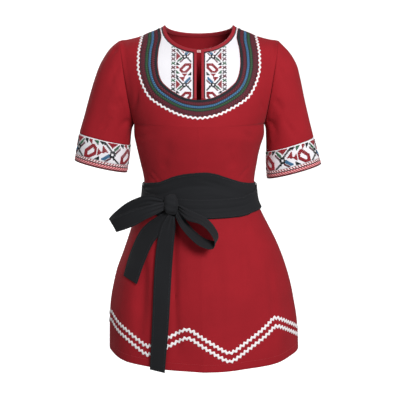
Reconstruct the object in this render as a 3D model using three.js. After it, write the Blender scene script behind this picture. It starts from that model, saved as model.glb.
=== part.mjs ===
// Women's short-sleeved folk tunic with its sash, filled out as when worn, in millimetres.
// +X is the viewer's right, -Y the front and +Z up; the origin lies midway between the two neck points.
import * as THREE from "three";

// ---- Driving sizes ----------------------------------------------------------------------------
const CLOTH = 2; // thickness of the body cloth
const TRIM = 1.2; // thickness of braids, bib and ricrac
const TRIM_GAP = 0.95; // from a panel to what is sewn on it
const SEAM = 0.3; // gap between pieces at a seam
const HEM_Z = -790; // hem at the side seams
const HEM_DIP = { front: 10, back: 6 }; // how far the hem hangs lower at its centre
const HEM_DIP_END_Z = -640; // above this height the rows are level
const UNDERARM = { x: 157, z: -235 };
const SHOULDER = { x: 188, z: -36 };
const NECK = { x: 80, z: 0 };
const BINDING_WIDTH = 8;
const SLIT = { halfWidth: 5.3, bottomZ: -172.5, bindingWidth: 8, bindingProud: 0.1 };
const SLEEVE_ROUND = 20; // points round a sleeve
// Rows of the panels: stretches below the underarm with the height each begins at, closest together
// round the waist, then the rows beside the armhole and along the shoulder.
const BODY_ROWS = {
  stretches: [{ from: HEM_Z, rows: 8 }, { from: -470, rows: 8 }, { from: -310, rows: 3 }],
  armhole: 8,
  shoulder: 6,
};
const BODY_COLUMNS = 11; // cells from the slit line or centre back to a side seam

const COLOURS = {
  red: 0xa6242c,
  darkRed: 0x8e2a33,
  white: 0xf3f1f7,
  maroon: 0x6b3239,
  blue: 0x4b6a8a,
  green: 0x46604f,
  cord: 0x2b3036,
  sash: 0x26262b,
  pink: 0xe2a3a3,
};

const radians = THREE.MathUtils.degToRad;
const mix = THREE.MathUtils.lerp;

// ---- Tables and curves ------------------------------------------------------------------------

// A smooth value between the rows of a table; it never overshoots a row.
function smooth(keys, values, key) {
  const last = keys.length - 1;
  if (key <= keys[0]) return values[0];
  if (key >= keys[last]) return values[last];
  let i = 0;
  while (keys[i + 1] < key) i += 1;
  const rise = (j) => (values[j + 1] - values[j]) / (keys[j + 1] - keys[j]);
  const slope = (j) => {
    if (j === 0) return rise(0);
    if (j === last) return rise(last - 1);
    const [before, after] = [rise(j - 1), rise(j)];
    return before * after <= 0 ? 0 : (2 * before * after) / (before + after);
  };
  const span = keys[i + 1] - keys[i];
  const t = (key - keys[i]) / span;
  const bend = t * t * (3 - 2 * t);
  const leave = t * (1 - t) * (1 - t) * span * slope(i);
  const arrive = t * t * (t - 1) * span * slope(i + 1);
  return mix(values[i], values[i + 1], bend) + leave + arrive;
}

// A table with named columns, looked up by its first column.
function table(names, rows) {
  const sorted = [...rows].sort((a, b) => a[0] - b[0]);
  const keys = sorted.map((row) => row[0]);
  const columns = new Map(names.map((name, i) => [name, sorted.map((row) => row[i])]));
  return (name, key) => smooth(keys, columns.get(name), key);
}

// The body below the underarm, and the depth of both panels at their centre line all the way up.
const BODY = table(["z", "halfWidth", "centreX", "front", "back"], [
  [-17, 157, 0, 45, 70],
  [-25, 157, 0, 49, 74],
  [-58, 157, 0, 65, 85],
  [-66, 157, 0, 69.5, 87],
  [-85, 157, 0, 80, 91],
  [-110, 157, 0, 93, 95],
  [-135, 157, 0, 104, 98],
  [-172, 157, 0, 117, 99.5],
  [-200, 157, 0, 123, 99],
  [-235, 157, 0, 127, 97],
  [-249, 158, 0.7, 126, 95],
  [-298, 147.5, -1.5, 116, 88],
  [-334, 140.5, -0.5, 105, 82],
  [-371, 134.5, 0.6, 97, 78],
  [-396, 136, 1.3, 98, 80],
  [-421, 140, 1.3, 101, 84],
  [-445, 151, 1, 107, 90],
  [-470, 162.5, 1.9, 114, 98],
  [-495, 173.7, 4.9, 121, 106],
  [-521, 184, 6, 128, 112],
  [-546, 194, 7.4, 134, 118],
  [-571, 204, 6.8, 140, 123],
  [-622, 219, 7.5, 150, 132],
  [-673, 229, 8, 158, 139],
  [-725, 235, 10.6, 165, 145],
  [-800, 238, 12, 172, 150],
]);

// The shoulder seam from the neck out to the sleeve.
const SHOULDER_LINE = table(["x", "z"], [
  [NECK.x, NECK.z],
  [92, -7],
  [116, -15],
  [135, -24],
  [164, -32],
  [SHOULDER.x, SHOULDER.z],
]);

// Soft troughs that open out of the waist and deepen down to the hem: angle from centre front,
// half-width at the hem in degrees, depth at the hem and the height where each begins.
const FOLDS = [
  { angle: -72, spread: 11, depth: 4, top: -520 },
  { angle: -35, spread: 10, depth: 7, top: -560 },
  { angle: -13, spread: 9, depth: 6, top: -480 },
  { angle: 27, spread: 12, depth: 6, top: -455 },
  { angle: 64, spread: 11, depth: 5, top: -500 },
  { angle: 112, spread: 12, depth: 6, top: -500 },
  { angle: 146, spread: 11, depth: 7, top: -470 },
  { angle: 180, spread: 10, depth: 6, top: -530 },
  { angle: 213, spread: 12, depth: 7, top: -460 },
  { angle: 250, spread: 11, depth: 5, top: -510 },
];

function foldDepth(phi, z) {
  let total = 0;
  for (const fold of FOLDS) {
    const down = THREE.MathUtils.clamp((fold.top - z) / (fold.top - HEM_Z), 0, 1);
    const turn = THREE.MathUtils.euclideanModulo(phi - radians(fold.angle) + Math.PI, 2 * Math.PI);
    const across = (turn - Math.PI) / radians(fold.spread);
    total += fold.depth * down * (2 - down) * Math.exp(-across * across);
  }
  return total;
}

// ---- The body's form --------------------------------------------------------------------------

// A point of the body below the underarm; phi turns from centre front to the viewer's right.
function bodyPoint(phi, z) {
  const depth = BODY(Math.cos(phi) >= 0 ? "front" : "back", z);
  const inward = foldDepth(phi, z);
  return new THREE.Vector3(
    BODY("centreX", z) + (BODY("halfWidth", z) - inward) * Math.sin(phi),
    -(depth - inward) * Math.cos(phi),
    z,
  );
}

// Where the two panels differ: the armhole's depth and the heights of their centre line.
const PANELS = {
  front: { turn: 1, armhole: 55, atArmhole: -110, atBinding: -66, atNeck: -58 },
  back: { turn: -1, armhole: 50, atArmhole: -60, atBinding: -25, atNeck: -17 },
};

// The rows of a panel are numbered by v: 0 hem, 1 underarm, 2 shoulder point, 3 where the neck
// binding begins and 4 the neck edge. Above the underarm each row is an arc of an ellipse.
function panelRow(name, v) {
  const panel = PANELS[name];
  if (v <= 2) {
    const alpha = Math.PI * (v - 1);
    const edgeX = mix(UNDERARM.x, SHOULDER.x, (1 - Math.cos(alpha)) / 2);
    const centreZ = mix(UNDERARM.z, panel.atArmhole, (1 - Math.cos(alpha)) / 2);
    const depth = BODY(name, centreZ);
    const reach = Math.acos((panel.armhole * Math.sin(alpha)) / depth);
    return {
      reach,
      depth,
      halfWidth: edgeX / Math.sin(reach),
      centreZ,
      edgeZ: mix(UNDERARM.z, SHOULDER.z, (1 - Math.cos(alpha)) / 2),
      round: 1,
    };
  }
  const bindingX = NECK.x + BINDING_WIDTH;
  const edgeX = v <= 3 ? mix(SHOULDER.x, bindingX, v - 2) : mix(bindingX, NECK.x, v - 3);
  const centreZ = v <= 3
    ? mix(panel.atArmhole, panel.atBinding, v - 2)
    : mix(panel.atBinding, panel.atNeck, v - 3);
  return {
    reach: Math.PI / 2,
    depth: BODY(name, centreZ),
    halfWidth: edgeX,
    centreZ,
    edgeZ: SHOULDER_LINE("z", edgeX),
    round: Math.max(0, 3 - v),
  };
}

// The armhole lies in a plane; this is its direction in the front view.
const armholeTilt = new THREE.Vector2(SHOULDER.x - UNDERARM.x, SHOULDER.z - UNDERARM.z).normalize();

function hemDip(name, phi, z) {
  const fade = THREE.MathUtils.clamp((HEM_DIP_END_Z - z) / (HEM_DIP_END_Z - HEM_Z), 0, 1);
  return HEM_DIP[name] * fade * Math.abs(Math.cos(phi));
}

// A point of a panel; share runs from -1 at one side edge over 0 at the centre to 1 at the other.
function panelPoint(name, share, v) {
  const { turn } = PANELS[name];
  if (v <= 1) {
    const z = mix(HEM_Z, UNDERARM.z, v);
    const phi = (share * Math.PI) / 2;
    const dip = hemDip(name, phi, z);
    return bodyPoint(turn > 0 ? phi : Math.PI - phi, z - dip);
  }
  const row = panelRow(name, v);
  const phi = share * row.reach;
  const out = Math.sin(phi) / Math.sin(row.reach);
  const rise = mix(1 - Math.sqrt(Math.max(0, 1 - out * out)), out * out, row.round);
  return new THREE.Vector3(
    row.halfWidth * Math.sin(phi),
    -turn * row.depth * Math.cos(phi),
    mix(row.centreZ, row.edgeZ, rise),
  );
}

// The outward normal of a form given as point(a, b), at (a, b).
function normalOf(point, a, b, away) {
  const step = 1e-3;
  const alongA = point(a + step, b).sub(point(a - step, b));
  const alongB = point(a, b + step).sub(point(a, b - step));
  const normal = alongA.cross(alongB).normalize();
  return normal.dot(away) < 0 ? normal.negate() : normal;
}

const panelNormal = (name, share, v) => {
  const away = panelPoint(name, share, v).multiply(new THREE.Vector3(1, 1, 0));
  away.z = v > 1.5 ? 60 : 0;
  return normalOf((a, b) => panelPoint(name, a, b), share, v, away);
};

const HEIGHT_UNIT = 100; // heights are stepped in tenths of a millimetre where angles are in radians

// A point of the body below the underarm moved out by a distance.
function offBody(phi, z, distance) {
  const away = new THREE.Vector3(Math.sin(phi), -Math.cos(phi), 0);
  const normal = normalOf((a, b) => bodyPoint(a, b * HEIGHT_UNIT), phi, z / HEIGHT_UNIT, away);
  return bodyPoint(phi, z).addScaledVector(normal, distance);
}

// ---- Closed walls -----------------------------------------------------------------------------

const pieces = new THREE.Group();

function addGeometry(name, geometry, colour) {
  const material = new THREE.MeshStandardMaterial({ color: colour, roughness: 0.9, metalness: 0 });
  const mesh = new THREE.Mesh(geometry, material);
  mesh.name = name;
  pieces.add(mesh);
}

// A closed body from its triangles' corners, turned so that its faces point outwards.
function addPiece(name, positions, colour) {
  let volume = 0;
  for (let i = 0; i < positions.length; i += 3) {
    volume += positions[i].dot(new THREE.Vector3().crossVectors(positions[i + 1], positions[i + 2]));
  }
  const numbers = [];
  for (let i = 0; i < positions.length; i += 3) {
    const [b, c] = volume < 0 ? [i + 2, i + 1] : [i + 1, i + 2];
    for (const j of [i, b, c]) numbers.push(...positions[j].toArray());
  }
  const geometry = new THREE.BufferGeometry();
  geometry.setAttribute("position", new THREE.Float32BufferAttribute(numbers, 3));
  geometry.computeVertexNormals();
  addGeometry(name, geometry, colour);
}

// Triangles of the wall between an outer and an inner grid of points, with a rim round every edge.
// A closed wall joins its last column to its first; cells for which cut(row, column) is true stay open.
function wall(outer, inner, { closed = false, cut = () => false } = {}) {
  const width = outer[0].length;
  const rows = outer.length - 1;
  const columns = closed ? width : width - 1;
  const triangles = [];
  const quad = (a, b, c, d) => triangles.push(a, b, c, a, c, d);
  const filled = (r, c) => {
    if (r < 0 || r >= rows) return false;
    if (!closed && (c < 0 || c >= columns)) return false;
    return !cut(r, (c + columns) % columns);
  };
  for (let r = 0; r < rows; r += 1) {
    for (let c = 0; c < columns; c += 1) {
      if (!filled(r, c)) continue;
      const next = (c + 1) % width;
      const [o00, o01, o10, o11] = [outer[r][c], outer[r][next], outer[r + 1][c], outer[r + 1][next]];
      const [i00, i01, i10, i11] = [inner[r][c], inner[r][next], inner[r + 1][c], inner[r + 1][next]];
      quad(o00, o01, o11, o10);
      quad(i00, i10, i11, i01);
      if (!filled(r - 1, c)) quad(o01, o00, i00, i01);
      if (!filled(r + 1, c)) quad(o10, o11, i11, i10);
      if (!filled(r, c - 1)) quad(o00, o10, i10, i00);
      if (!filled(r, c + 1)) quad(o11, o01, i01, i11);
    }
  }
  return triangles;
}

const steps = (count, from = 0, to = 1) =>
  Array.from({ length: count + 1 }, (_, i) => mix(from, to, i / count));

// ---- Front and back ---------------------------------------------------------------------------

const heightOf = (z) => (z - HEM_Z) / (UNDERARM.z - HEM_Z);
const skirtRows = BODY_ROWS.stretches.flatMap(({ from, rows }, i, all) => {
  const to = i + 1 < all.length ? all[i + 1].from : UNDERARM.z;
  return steps(rows, heightOf(from), heightOf(to)).slice(0, -1);
});
const panelRows = [
  ...skirtRows,
  ...steps(BODY_ROWS.armhole, 1, 2).slice(0, -1),
  ...steps(BODY_ROWS.shoulder, 2, 3),
];

// The columns of a row as shares of its reach; the two middle ones stand on the slit's edges.
function panelShares(name, v) {
  const row = v > 1 ? panelRow(name, v) : { halfWidth: BODY("halfWidth", HEM_Z), reach: Math.PI / 2 };
  const slit = Math.asin(SLIT.halfWidth / row.halfWidth) / row.reach;
  const right = steps(BODY_COLUMNS, slit, 1);
  return [...right.map((share) => -share).reverse(), ...right];
}

// Evens out the cloth where the armhole and the shoulder seam meet; the edges stay where they are.
const RELAX = { passes: 10, row: 2, reach: 0.8, pull: 0.5 };

function relax(points) {
  for (let pass = 0; pass < RELAX.passes; pass += 1) {
    const before = points.map((row) => row.map((point) => point.clone()));
    panelRows.forEach((v, r) => {
      const near = Math.max(0, 1 - Math.abs(v - RELAX.row) / RELAX.reach);
      for (let c = 1; near > 0 && c < points[r].length - 1; c += 1) {
        const offCentre = Math.abs(c - BODY_COLUMNS - 0.5) / BODY_COLUMNS;
        const around = new THREE.Vector3();
        for (const point of [before[r - 1][c], before[r + 1][c], before[r][c - 1], before[r][c + 1]]) {
          around.addScaledVector(point, 1 / 4);
        }
        points[r][c].lerp(around, RELAX.pull * near * THREE.MathUtils.smoothstep(offCentre, 0.15, 0.45));
      }
    });
  }
}

// The outer points of a panel with their normals. Points on a side or shoulder seam keep clear of
// the other panel, and there the wall's thickness lies in the plane of the seam.
function panelGrid(name) {
  const { turn } = PANELS[name];
  const points = panelRows.map((v) => panelShares(name, v).map((share) => panelPoint(name, share, v)));
  relax(points);
  const lastRow = points.length - 1;
  const lastColumn = points[0].length - 1;
  return points.map((row, r) =>
    row.map((point, c) => {
      const across = row[Math.min(c + 1, lastColumn)].clone().sub(row[Math.max(c - 1, 0)]);
      const up = points[Math.min(r + 1, lastRow)][c].clone().sub(points[Math.max(r - 1, 0)][c]);
      const normal = across.cross(up).multiplyScalar(turn).normalize();
      const onEdge = c === 0 || c === lastColumn;
      const onSeam = onEdge && (panelRows[r] <= 1 || panelRows[r] >= 2);
      if (onSeam) normal.setY(0);
      // The wall beside an armhole stays on its own side of the armhole's plane.
      const toSleeve = new THREE.Vector3(Math.sign(point.x) * armholeTilt.y, 0, -armholeTilt.x);
      if (onEdge && panelRows[r] > 1) normal.addScaledVector(toSleeve, -Math.min(0, normal.dot(toSleeve)));
      const offSeam = new THREE.Vector3(0, onSeam ? -turn * (SEAM / 2) : 0, 0);
      return { point: point.clone().add(offSeam), normal: normal.normalize() };
    }),
  );
}

const frontGrid = panelGrid("front");

function makePanel(name, grid) {
  const outer = grid.map((row) => row.map(({ point }) => point));
  const inner = grid.map((row) =>
    row.map(({ point, normal }) => point.clone().addScaledVector(normal, -CLOTH)),
  );
  const slitRow = skirtRows.length + BODY_ROWS.armhole / 2;
  const cut = (r, c) => name === "front" && r >= slitRow && c === BODY_COLUMNS;
  addPiece(name, wall(outer, inner, { cut }), COLOURS.red);
}

makePanel("front", frontGrid);
makePanel("back", panelGrid("back"));

// The triangles of the front panel's outer side from the underarm up, for laying trims on it.
const frontFacets = frontGrid.slice(skirtRows.length - 1, -1).flatMap((row, r) =>
  row.slice(0, -1).flatMap((corner, c) => {
    const above = frontGrid[skirtRows.length + r];
    return [[corner, row[c + 1], above[c + 1]], [corner, above[c + 1], above[c]]];
  }),
);

// The front panel's point straight behind (x, z) of the front view, moved out by a distance.
function onFront(x, z, distance) {
  let best = { least: -Infinity };
  for (const corners of frontFacets) {
    const [a, b, c] = corners.map(({ point }) => point);
    const area = (b.x - a.x) * (c.z - a.z) - (c.x - a.x) * (b.z - a.z);
    const shareB = ((x - a.x) * (c.z - a.z) - (c.x - a.x) * (z - a.z)) / area;
    const shareC = ((b.x - a.x) * (z - a.z) - (x - a.x) * (b.z - a.z)) / area;
    const shares = [1 - shareB - shareC, shareB, shareC];
    const least = Math.min(...shares);
    if (least > best.least) best = { least, corners, shares };
  }
  const place = new THREE.Vector3();
  const normal = new THREE.Vector3();
  best.corners.forEach((corner, i) => {
    place.addScaledVector(corner.point, best.shares[i]);
    normal.addScaledVector(corner.normal, best.shares[i]);
  });
  return place.addScaledVector(normal.normalize(), distance);
}

// ---- Sleeves and cuffs ------------------------------------------------------------------------

// Each ring of a sleeve passes through an outer and an inner point of the front view and bulges to
// the front and back. Ring 0 is the armhole, 8 the top of the cuff and 10 its edge.
const RING_NAMES = ["ring", "outerX", "outerZ", "innerX", "innerZ", "front", "back"];
const CUFF = { top: 8, braid: 9.4, edge: 10, seam: 0.012 };
const ARMHOLE_RING = [
  0,
  SHOULDER.x + SEAM * armholeTilt.y,
  SHOULDER.z - SEAM * armholeTilt.x,
  UNDERARM.x + SEAM * armholeTilt.y,
  UNDERARM.z - SEAM * armholeTilt.x,
  PANELS.front.armhole,
  PANELS.back.armhole,
];
const SLEEVES = {
  left: {
    side: -1,
    rings: table(RING_NAMES, [
      ARMHOLE_RING,
      [1, 200, -44.5, 160, -241, 57, 54],
      [2, 212.6, -56, 162, -247, 58, 57],
      [3, 225, -73, 163, -253, 58, 59],
      [4, 238, -96, 164, -260, 57, 60],
      [5, 250, -127, 164.8, -267, 56, 60],
      [6, 263, -168, 165.5, -275, 54, 59],
      [7, 276, -213, 166, -281, 51, 57],
      [CUFF.top, 289, -256, 166, -285, 49, 55],
      [9, 296.5, -293, 170, -322, 48, 54],
      [CUFF.edge, 302, -322, 175.5, -352, 47, 53],
    ]),
  },
  right: {
    side: 1,
    rings: table(RING_NAMES, [
      ARMHOLE_RING,
      [1, 199, -46.5, 160.3, -241, 57, 54],
      [2, 211, -58.5, 161.5, -248, 58, 57],
      [3, 223, -74, 162, -256, 58, 59],
      [4, 235, -97, 162.4, -266, 57, 60],
      [5, 243.5, -129, 162.8, -276, 56, 60],
      [6, 253, -171, 163, -285, 54, 59],
      [7, 265, -219, 163, -293, 51, 57],
      [CUFF.top, 277.7, -266, 163, -301, 49, 55],
      [9, 288.5, -303, 163.5, -337, 48, 54],
      [CUFF.edge, 297, -331, 166, -367, 47, 53],
    ]),
  },
};
// Soft folds along a sleeve: angle round it from the outer point over the front, half-width in
// degrees, greatest depth and the rings between which each lies.
const SLEEVE_FOLDS = [
  { angle: 128, spread: 16, depth: 4, from: 1, to: 8 },
  { angle: 70, spread: 16, depth: 2.5, from: 2, to: 9 },
  { angle: 222, spread: 17, depth: 4, from: 1, to: 8 },
  { angle: 290, spread: 16, depth: 3, from: 2, to: 9 },
];

function sleeveFold(psi, ring) {
  let total = 0;
  for (const fold of SLEEVE_FOLDS) {
    const along = THREE.MathUtils.clamp((ring - fold.from) / (fold.to - fold.from), 0, 1);
    const across = (psi - radians(fold.angle)) / radians(fold.spread);
    total += fold.depth * Math.sin(Math.PI * along) * Math.exp(-across * across);
  }
  return total;
}

function sleevePoint({ side, rings }, psi, ring, inward = 0) {
  const outer = new THREE.Vector2(rings("outerX", ring), rings("outerZ", ring));
  const inner = new THREE.Vector2(rings("innerX", ring), rings("innerZ", ring));
  const turn = THREE.MathUtils.euclideanModulo(psi, 2 * Math.PI);
  const less = inward + sleeveFold(turn, ring);
  const half = outer.distanceTo(inner) / 2;
  const axis = outer.clone().sub(inner).normalize();
  const centre = outer.clone().add(inner).divideScalar(2);
  const flat = centre.addScaledVector(axis, (half - less) * Math.cos(turn));
  const depth = rings(Math.sin(turn) >= 0 ? "front" : "back", ring) - less;
  return new THREE.Vector3(side * flat.x, -depth * Math.sin(turn), flat.y);
}

// A wall round the arm between two rings; its inner side lies in the planes of the rings.
function makeSleevePiece(name, sleeve, from, to, count, colour) {
  const angles = steps(SLEEVE_ROUND, 0, 2 * Math.PI).slice(0, -1);
  const rows = steps(count, from, to);
  const grid = (inward) =>
    rows.map((ring) => angles.map((psi) => sleevePoint(sleeve, psi, ring, inward)));
  addPiece(name, wall(grid(0), grid(CLOTH), { closed: true }), colour);
}

for (const [side, sleeve] of Object.entries(SLEEVES)) {
  makeSleevePiece(`sleeve_${side}`, sleeve, 0, CUFF.top - CUFF.seam, 9, COLOURS.red);
  const { top, braid, edge, seam } = CUFF;
  makeSleevePiece(`cuff_band_${side}`, sleeve, top + seam, braid - seam, 2, COLOURS.white);
  makeSleevePiece(`cuff_braid_${side}`, sleeve, braid + seam, edge, 1, COLOURS.maroon);
}

// ---- Neck binding and slit --------------------------------------------------------------------

// The binding is folded over the neck edge from one side of the slit round the back to the other,
// so it stands a little proud of the panels on both sides.
const BINDING = { proud: 1, thickness: 4, stations: 20, rows: [3.07, 3.5, 4], shoulderTurn: 0.985 };

function neckBinding() {
  const slitShare = Math.asin(SLIT.halfWidth / NECK.x) / (Math.PI / 2);
  const half = BINDING.stations / 2;
  const quarter = steps(half / 2, slitShare, BINDING.shoulderTurn);
  const stations = [
    ...quarter.map((share) => ["front", share]),
    ...steps(half, -BINDING.shoulderTurn, BINDING.shoulderTurn).map((share) => ["back", -share]),
    ...quarter.map((share) => ["front", -share]).reverse(),
  ];
  const grid = (distance) =>
    BINDING.rows.map((v) =>
      stations.map(([name, share]) =>
        panelPoint(name, share, v).addScaledVector(panelNormal(name, share, v), distance),
      ),
    );
  const inner = BINDING.proud - BINDING.thickness;
  addPiece("neck_binding", wall(grid(BINDING.proud), grid(inner)), COLOURS.darkRed);
}

// A flat trim on the front panel, from a grid of places in the front view.
function makeFrontTrim(name, places, colour, thickness = TRIM) {
  const grid = (distance) => places.map((row) => row.map(([x, z]) => onFront(x, z, distance)));
  addPiece(name, wall(grid(TRIM_GAP + thickness), grid(TRIM_GAP)), colour);
}

function slitBinding(side, name) {
  const inner = SLIT.halfWidth - SLIT.bindingProud;
  const outer = inner + SLIT.bindingWidth;
  const topZ = (x) => PANELS.front.atBinding * Math.sqrt(1 - (x / (NECK.x + BINDING_WIDTH)) ** 2);
  const places = steps(8).map((t) =>
    [inner, outer].map((x) => [side * x, mix(SLIT.bottomZ + 3, topZ(x) - 2 * SEAM, t)]),
  );
  makeFrontTrim(name, places, COLOURS.darkRed, TRIM + 0.6);
}

neckBinding();
slitBinding(-1, "slit_binding_left");
slitBinding(1, "slit_binding_right");

// ---- Yoke and bib -----------------------------------------------------------------------------

// Half the yoke in the front view, from its lowest point (way 0) to the shoulder seam (way 1): its
// inner edge and the middle line of the ricrac round its outer edge.
const YOKE_HALF = [
  [0, 0, -172, 0, -213],
  [0.1, 27, -169, 38, -207],
  [0.2, 43, -163, 66, -196],
  [0.3, 62, -152, 92, -182],
  [0.4, 76, -141, 113, -167],
  [0.5, 86, -130, 127.5, -144],
  [0.6, 93, -110, 136, -121],
  [0.7, 95.5, -87, 140.5, -98],
  [0.8, 94, -60, 140.5, -73],
  [0.9, 88.5, -30, 138, -47],
  [1, 92.5, -8.5, 134.5, -25.5],
];
const YOKE = table(["way", "innerX", "innerZ", "outerX", "outerZ"], [
  ...YOKE_HALF,
  ...YOKE_HALF.slice(1).map(([way, ix, iz, ox, oz]) => [-way, -ix, iz, -ox, oz]),
]);
// Braids side by side, as shares of the way from the inner edge to the ricrac.
const YOKE_BRAIDS = [
  { name: "yoke_cord", from: 0, to: 0.1, colour: COLOURS.cord, thickness: 2 },
  { name: "yoke_braid_inner", from: 0.108, to: 0.32, colour: COLOURS.maroon, thickness: TRIM },
  { name: "yoke_braid_blue", from: 0.328, to: 0.485, colour: COLOURS.blue, thickness: TRIM },
  { name: "yoke_braid_green", from: 0.493, to: 0.635, colour: COLOURS.green, thickness: TRIM },
  { name: "yoke_braid_outer", from: 0.643, to: 0.88, colour: COLOURS.maroon, thickness: TRIM },
];
const YOKE_CELLS = 34;

const yokePlace = (way, share) => [
  mix(YOKE("innerX", way), YOKE("outerX", way), share),
  mix(YOKE("innerZ", way), YOKE("outerZ", way), share),
];

for (const { name, from, to, colour, thickness } of YOKE_BRAIDS) {
  const places = [from, to].map((share) => steps(YOKE_CELLS, -1, 1).map((way) => yokePlace(way, share)));
  makeFrontTrim(name, places, colour, thickness);
}

// Half the white bib, ruled from the slit and the neck binding out to the yoke.
const BIB = { cells: YOKE_CELLS / 2 - 1, across: 5, gap: 1, neckGap: 1.6 };

function bibHalf(side, name) {
  const slitX = SLIT.halfWidth + SLIT.bindingWidth + BIB.gap;
  const edgeX = NECK.x + BINDING_WIDTH + BIB.neckGap;
  const edgeZ = PANELS.front.atBinding - BIB.neckGap;
  const corner = Math.asin(slitX / edgeX);
  const innerPlace = (t) => {
    if (t <= 0.5) return [slitX, mix(SLIT.bottomZ + 4, edgeZ * Math.cos(corner), t * 2)];
    const turn = mix(corner, Math.PI / 2, (t - 0.5) * 2);
    return [edgeX * Math.sin(turn), Math.min(edgeZ * Math.cos(turn), SHOULDER_LINE("z", edgeX) - 3)];
  };
  const places = steps(BIB.cells).map((t) => {
    const [innerX, innerZ] = innerPlace(t);
    const [outerX, outerZ] = yokePlace(mix(2 / YOKE_CELLS, 1, t), 0);
    const outward = 1 - BIB.gap / Math.hypot(outerX - innerX, outerZ - innerZ);
    return steps(BIB.across, 0, outward).map((s) => [
      side * mix(innerX, outerX, s),
      mix(innerZ, outerZ, s),
    ]);
  });
  makeFrontTrim(name, places, COLOURS.white);
}

bibHalf(-1, "bib_left");
bibHalf(1, "bib_right");

// ---- Ricrac -----------------------------------------------------------------------------------

// Parameters that divide a path into equal lengths.
function evenly(path, count) {
  const fine = steps(count * 4);
  const lengths = [0];
  for (let i = 1; i < fine.length; i += 1) {
    lengths.push(lengths[i - 1] + path(fine[i]).distanceTo(path(fine[i - 1])));
  }
  return steps(count, 0, lengths.at(-1)).map((length) => {
    let i = 1;
    while (i < fine.length - 1 && lengths[i] < length) i += 1;
    const share = (length - lengths[i - 1]) / (lengths[i] - lengths[i - 1]);
    return mix(fine[i - 1], fine[i], share);
  });
}

// A braid along a path: its middle line swings from side to side once a wave.
// place(t, sideways, distance) gives the point beside the path at t, moved out of the cloth.
function ricrac(name, place, waves, { swing, halfWidth }, closed) {
  const path = (t) => place(t, 0, 0);
  const stations = evenly(path, waves * 2);
  if (closed) stations.pop();
  const edge = (side, distance) =>
    stations.map((t, i) => place(t, side * halfWidth + (i % 2 ? swing : -swing), distance));
  const outer = [edge(-1, TRIM_GAP + TRIM), edge(1, TRIM_GAP + TRIM)];
  const inner = [edge(-1, TRIM_GAP), edge(1, TRIM_GAP)];
  addPiece(name, wall(outer, inner, { closed }), COLOURS.white);
}

const YOKE_RICRAC = { waves: 58, swing: 1.9, halfWidth: 2.1 };
const yokeRicracPlace = (t, sideways, distance) => {
  const way = mix(-1, 1, t);
  const [x, z] = yokePlace(way, 1);
  const [innerX, innerZ] = yokePlace(way, 0.9);
  const length = Math.hypot(x - innerX, z - innerZ);
  return onFront(x + ((x - innerX) * sideways) / length, z + ((z - innerZ) * sideways) / length, distance);
};
ricrac("yoke_ricrac", yokeRicracPlace, YOKE_RICRAC.waves, YOKE_RICRAC, false);

// The large zigzag above the hem: turning points by angle from centre front, height above the hem.
const ZIGZAG = [
  { angle: -90, height: 86 },
  { angle: -78, height: 101 },
  { angle: -51, height: 78 },
  { angle: -35, height: 46 },
  { angle: -9, height: 103 },
  { angle: 15, height: 40 },
  { angle: 48, height: 112 },
  { angle: 93, height: 38 },
  { angle: 131, height: 98 },
  { angle: 163, height: 42 },
  { angle: 199, height: 98 },
  { angle: 235, height: 42 },
];
const ZIGZAG_ROUNDING = radians(3);
// The two rows stand as bands of the ricrac's full width.
const HEM_RICRAC = { waves: 42, swing: 0, halfWidth: 3.6, rowGap: 20 };

function zigzagHeight(phi) {
  const straight = (angle) => {
    const turn = THREE.MathUtils.euclideanModulo(angle + Math.PI / 2, 2 * Math.PI);
    const ends = [...ZIGZAG, { angle: 270, height: ZIGZAG[0].height }];
    const keys = ends.map((end) => radians(end.angle) + Math.PI / 2);
    let i = 0;
    while (i < keys.length - 2 && keys[i + 1] < turn) i += 1;
    return mix(ends[i].height, ends[i + 1].height, (turn - keys[i]) / (keys[i + 1] - keys[i]));
  };
  return (straight(phi - ZIGZAG_ROUNDING) + 2 * straight(phi) + straight(phi + ZIGZAG_ROUNDING)) / 4;
}

const hemLine = (phi) => HEM_Z - hemDip(Math.cos(phi) >= 0 ? "front" : "back", phi, HEM_Z);

const hemRicracPlace = (lower) => (t, sideways, distance) => {
  const phi = mix(-Math.PI, Math.PI, t);
  const place = (turn) => [turn, hemLine(turn) + zigzagHeight(turn) - lower];
  const [ahead, behind] = [place(phi + 1e-3), place(phi - 1e-3)];
  const along = offBody(...ahead, 0).sub(offBody(...behind, 0)).normalize();
  const middle = offBody(...place(phi), distance);
  const away = new THREE.Vector3(Math.sin(phi), -Math.cos(phi), 0);
  const across = new THREE.Vector3().crossVectors(along, away).normalize();
  const z = middle.z + across.z * sideways;
  const arc = (across.x * Math.cos(phi) + across.y * Math.sin(phi)) * sideways;
  const radius = Math.hypot(BODY("halfWidth", z) * Math.cos(phi), BODY("front", z) * Math.sin(phi));
  return offBody(phi + arc / radius, place(phi)[1] + across.z * sideways, distance);
};
ricrac("hem_ricrac_upper", hemRicracPlace(0), HEM_RICRAC.waves, HEM_RICRAC, true);
ricrac("hem_ricrac_lower", hemRicracPlace(HEM_RICRAC.rowGap), HEM_RICRAC.waves, HEM_RICRAC, true);

// ---- Sash -------------------------------------------------------------------------------------

// Heights of the sash's upper and lower edge by angle from centre front.
const SASH = table(["angle", "top", "bottom"], [
  [-180, -380, -440],
  [-90, -376, -439],
  [-60, -371, -441],
  [-44, -366, -444],
  [-33, -357, -446],
  [-23, -348.5, -447],
  [-10, -342, -448.5],
  [5.6, -339, -449],
  [16, -343, -449],
  [24.7, -350, -448.5],
  [36, -359, -448],
  [47.6, -366.5, -446],
  [60, -371, -441.5],
  [90, -376, -440],
  [180, -380, -440],
]);
const SASH_GAP = 1.2; // from the body's form to the first layer
const SASH_CLOTH = 2;
const SASH_ROWS = 4;
const SASH_STEP = 7.5; // degrees between the columns of every layer
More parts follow.
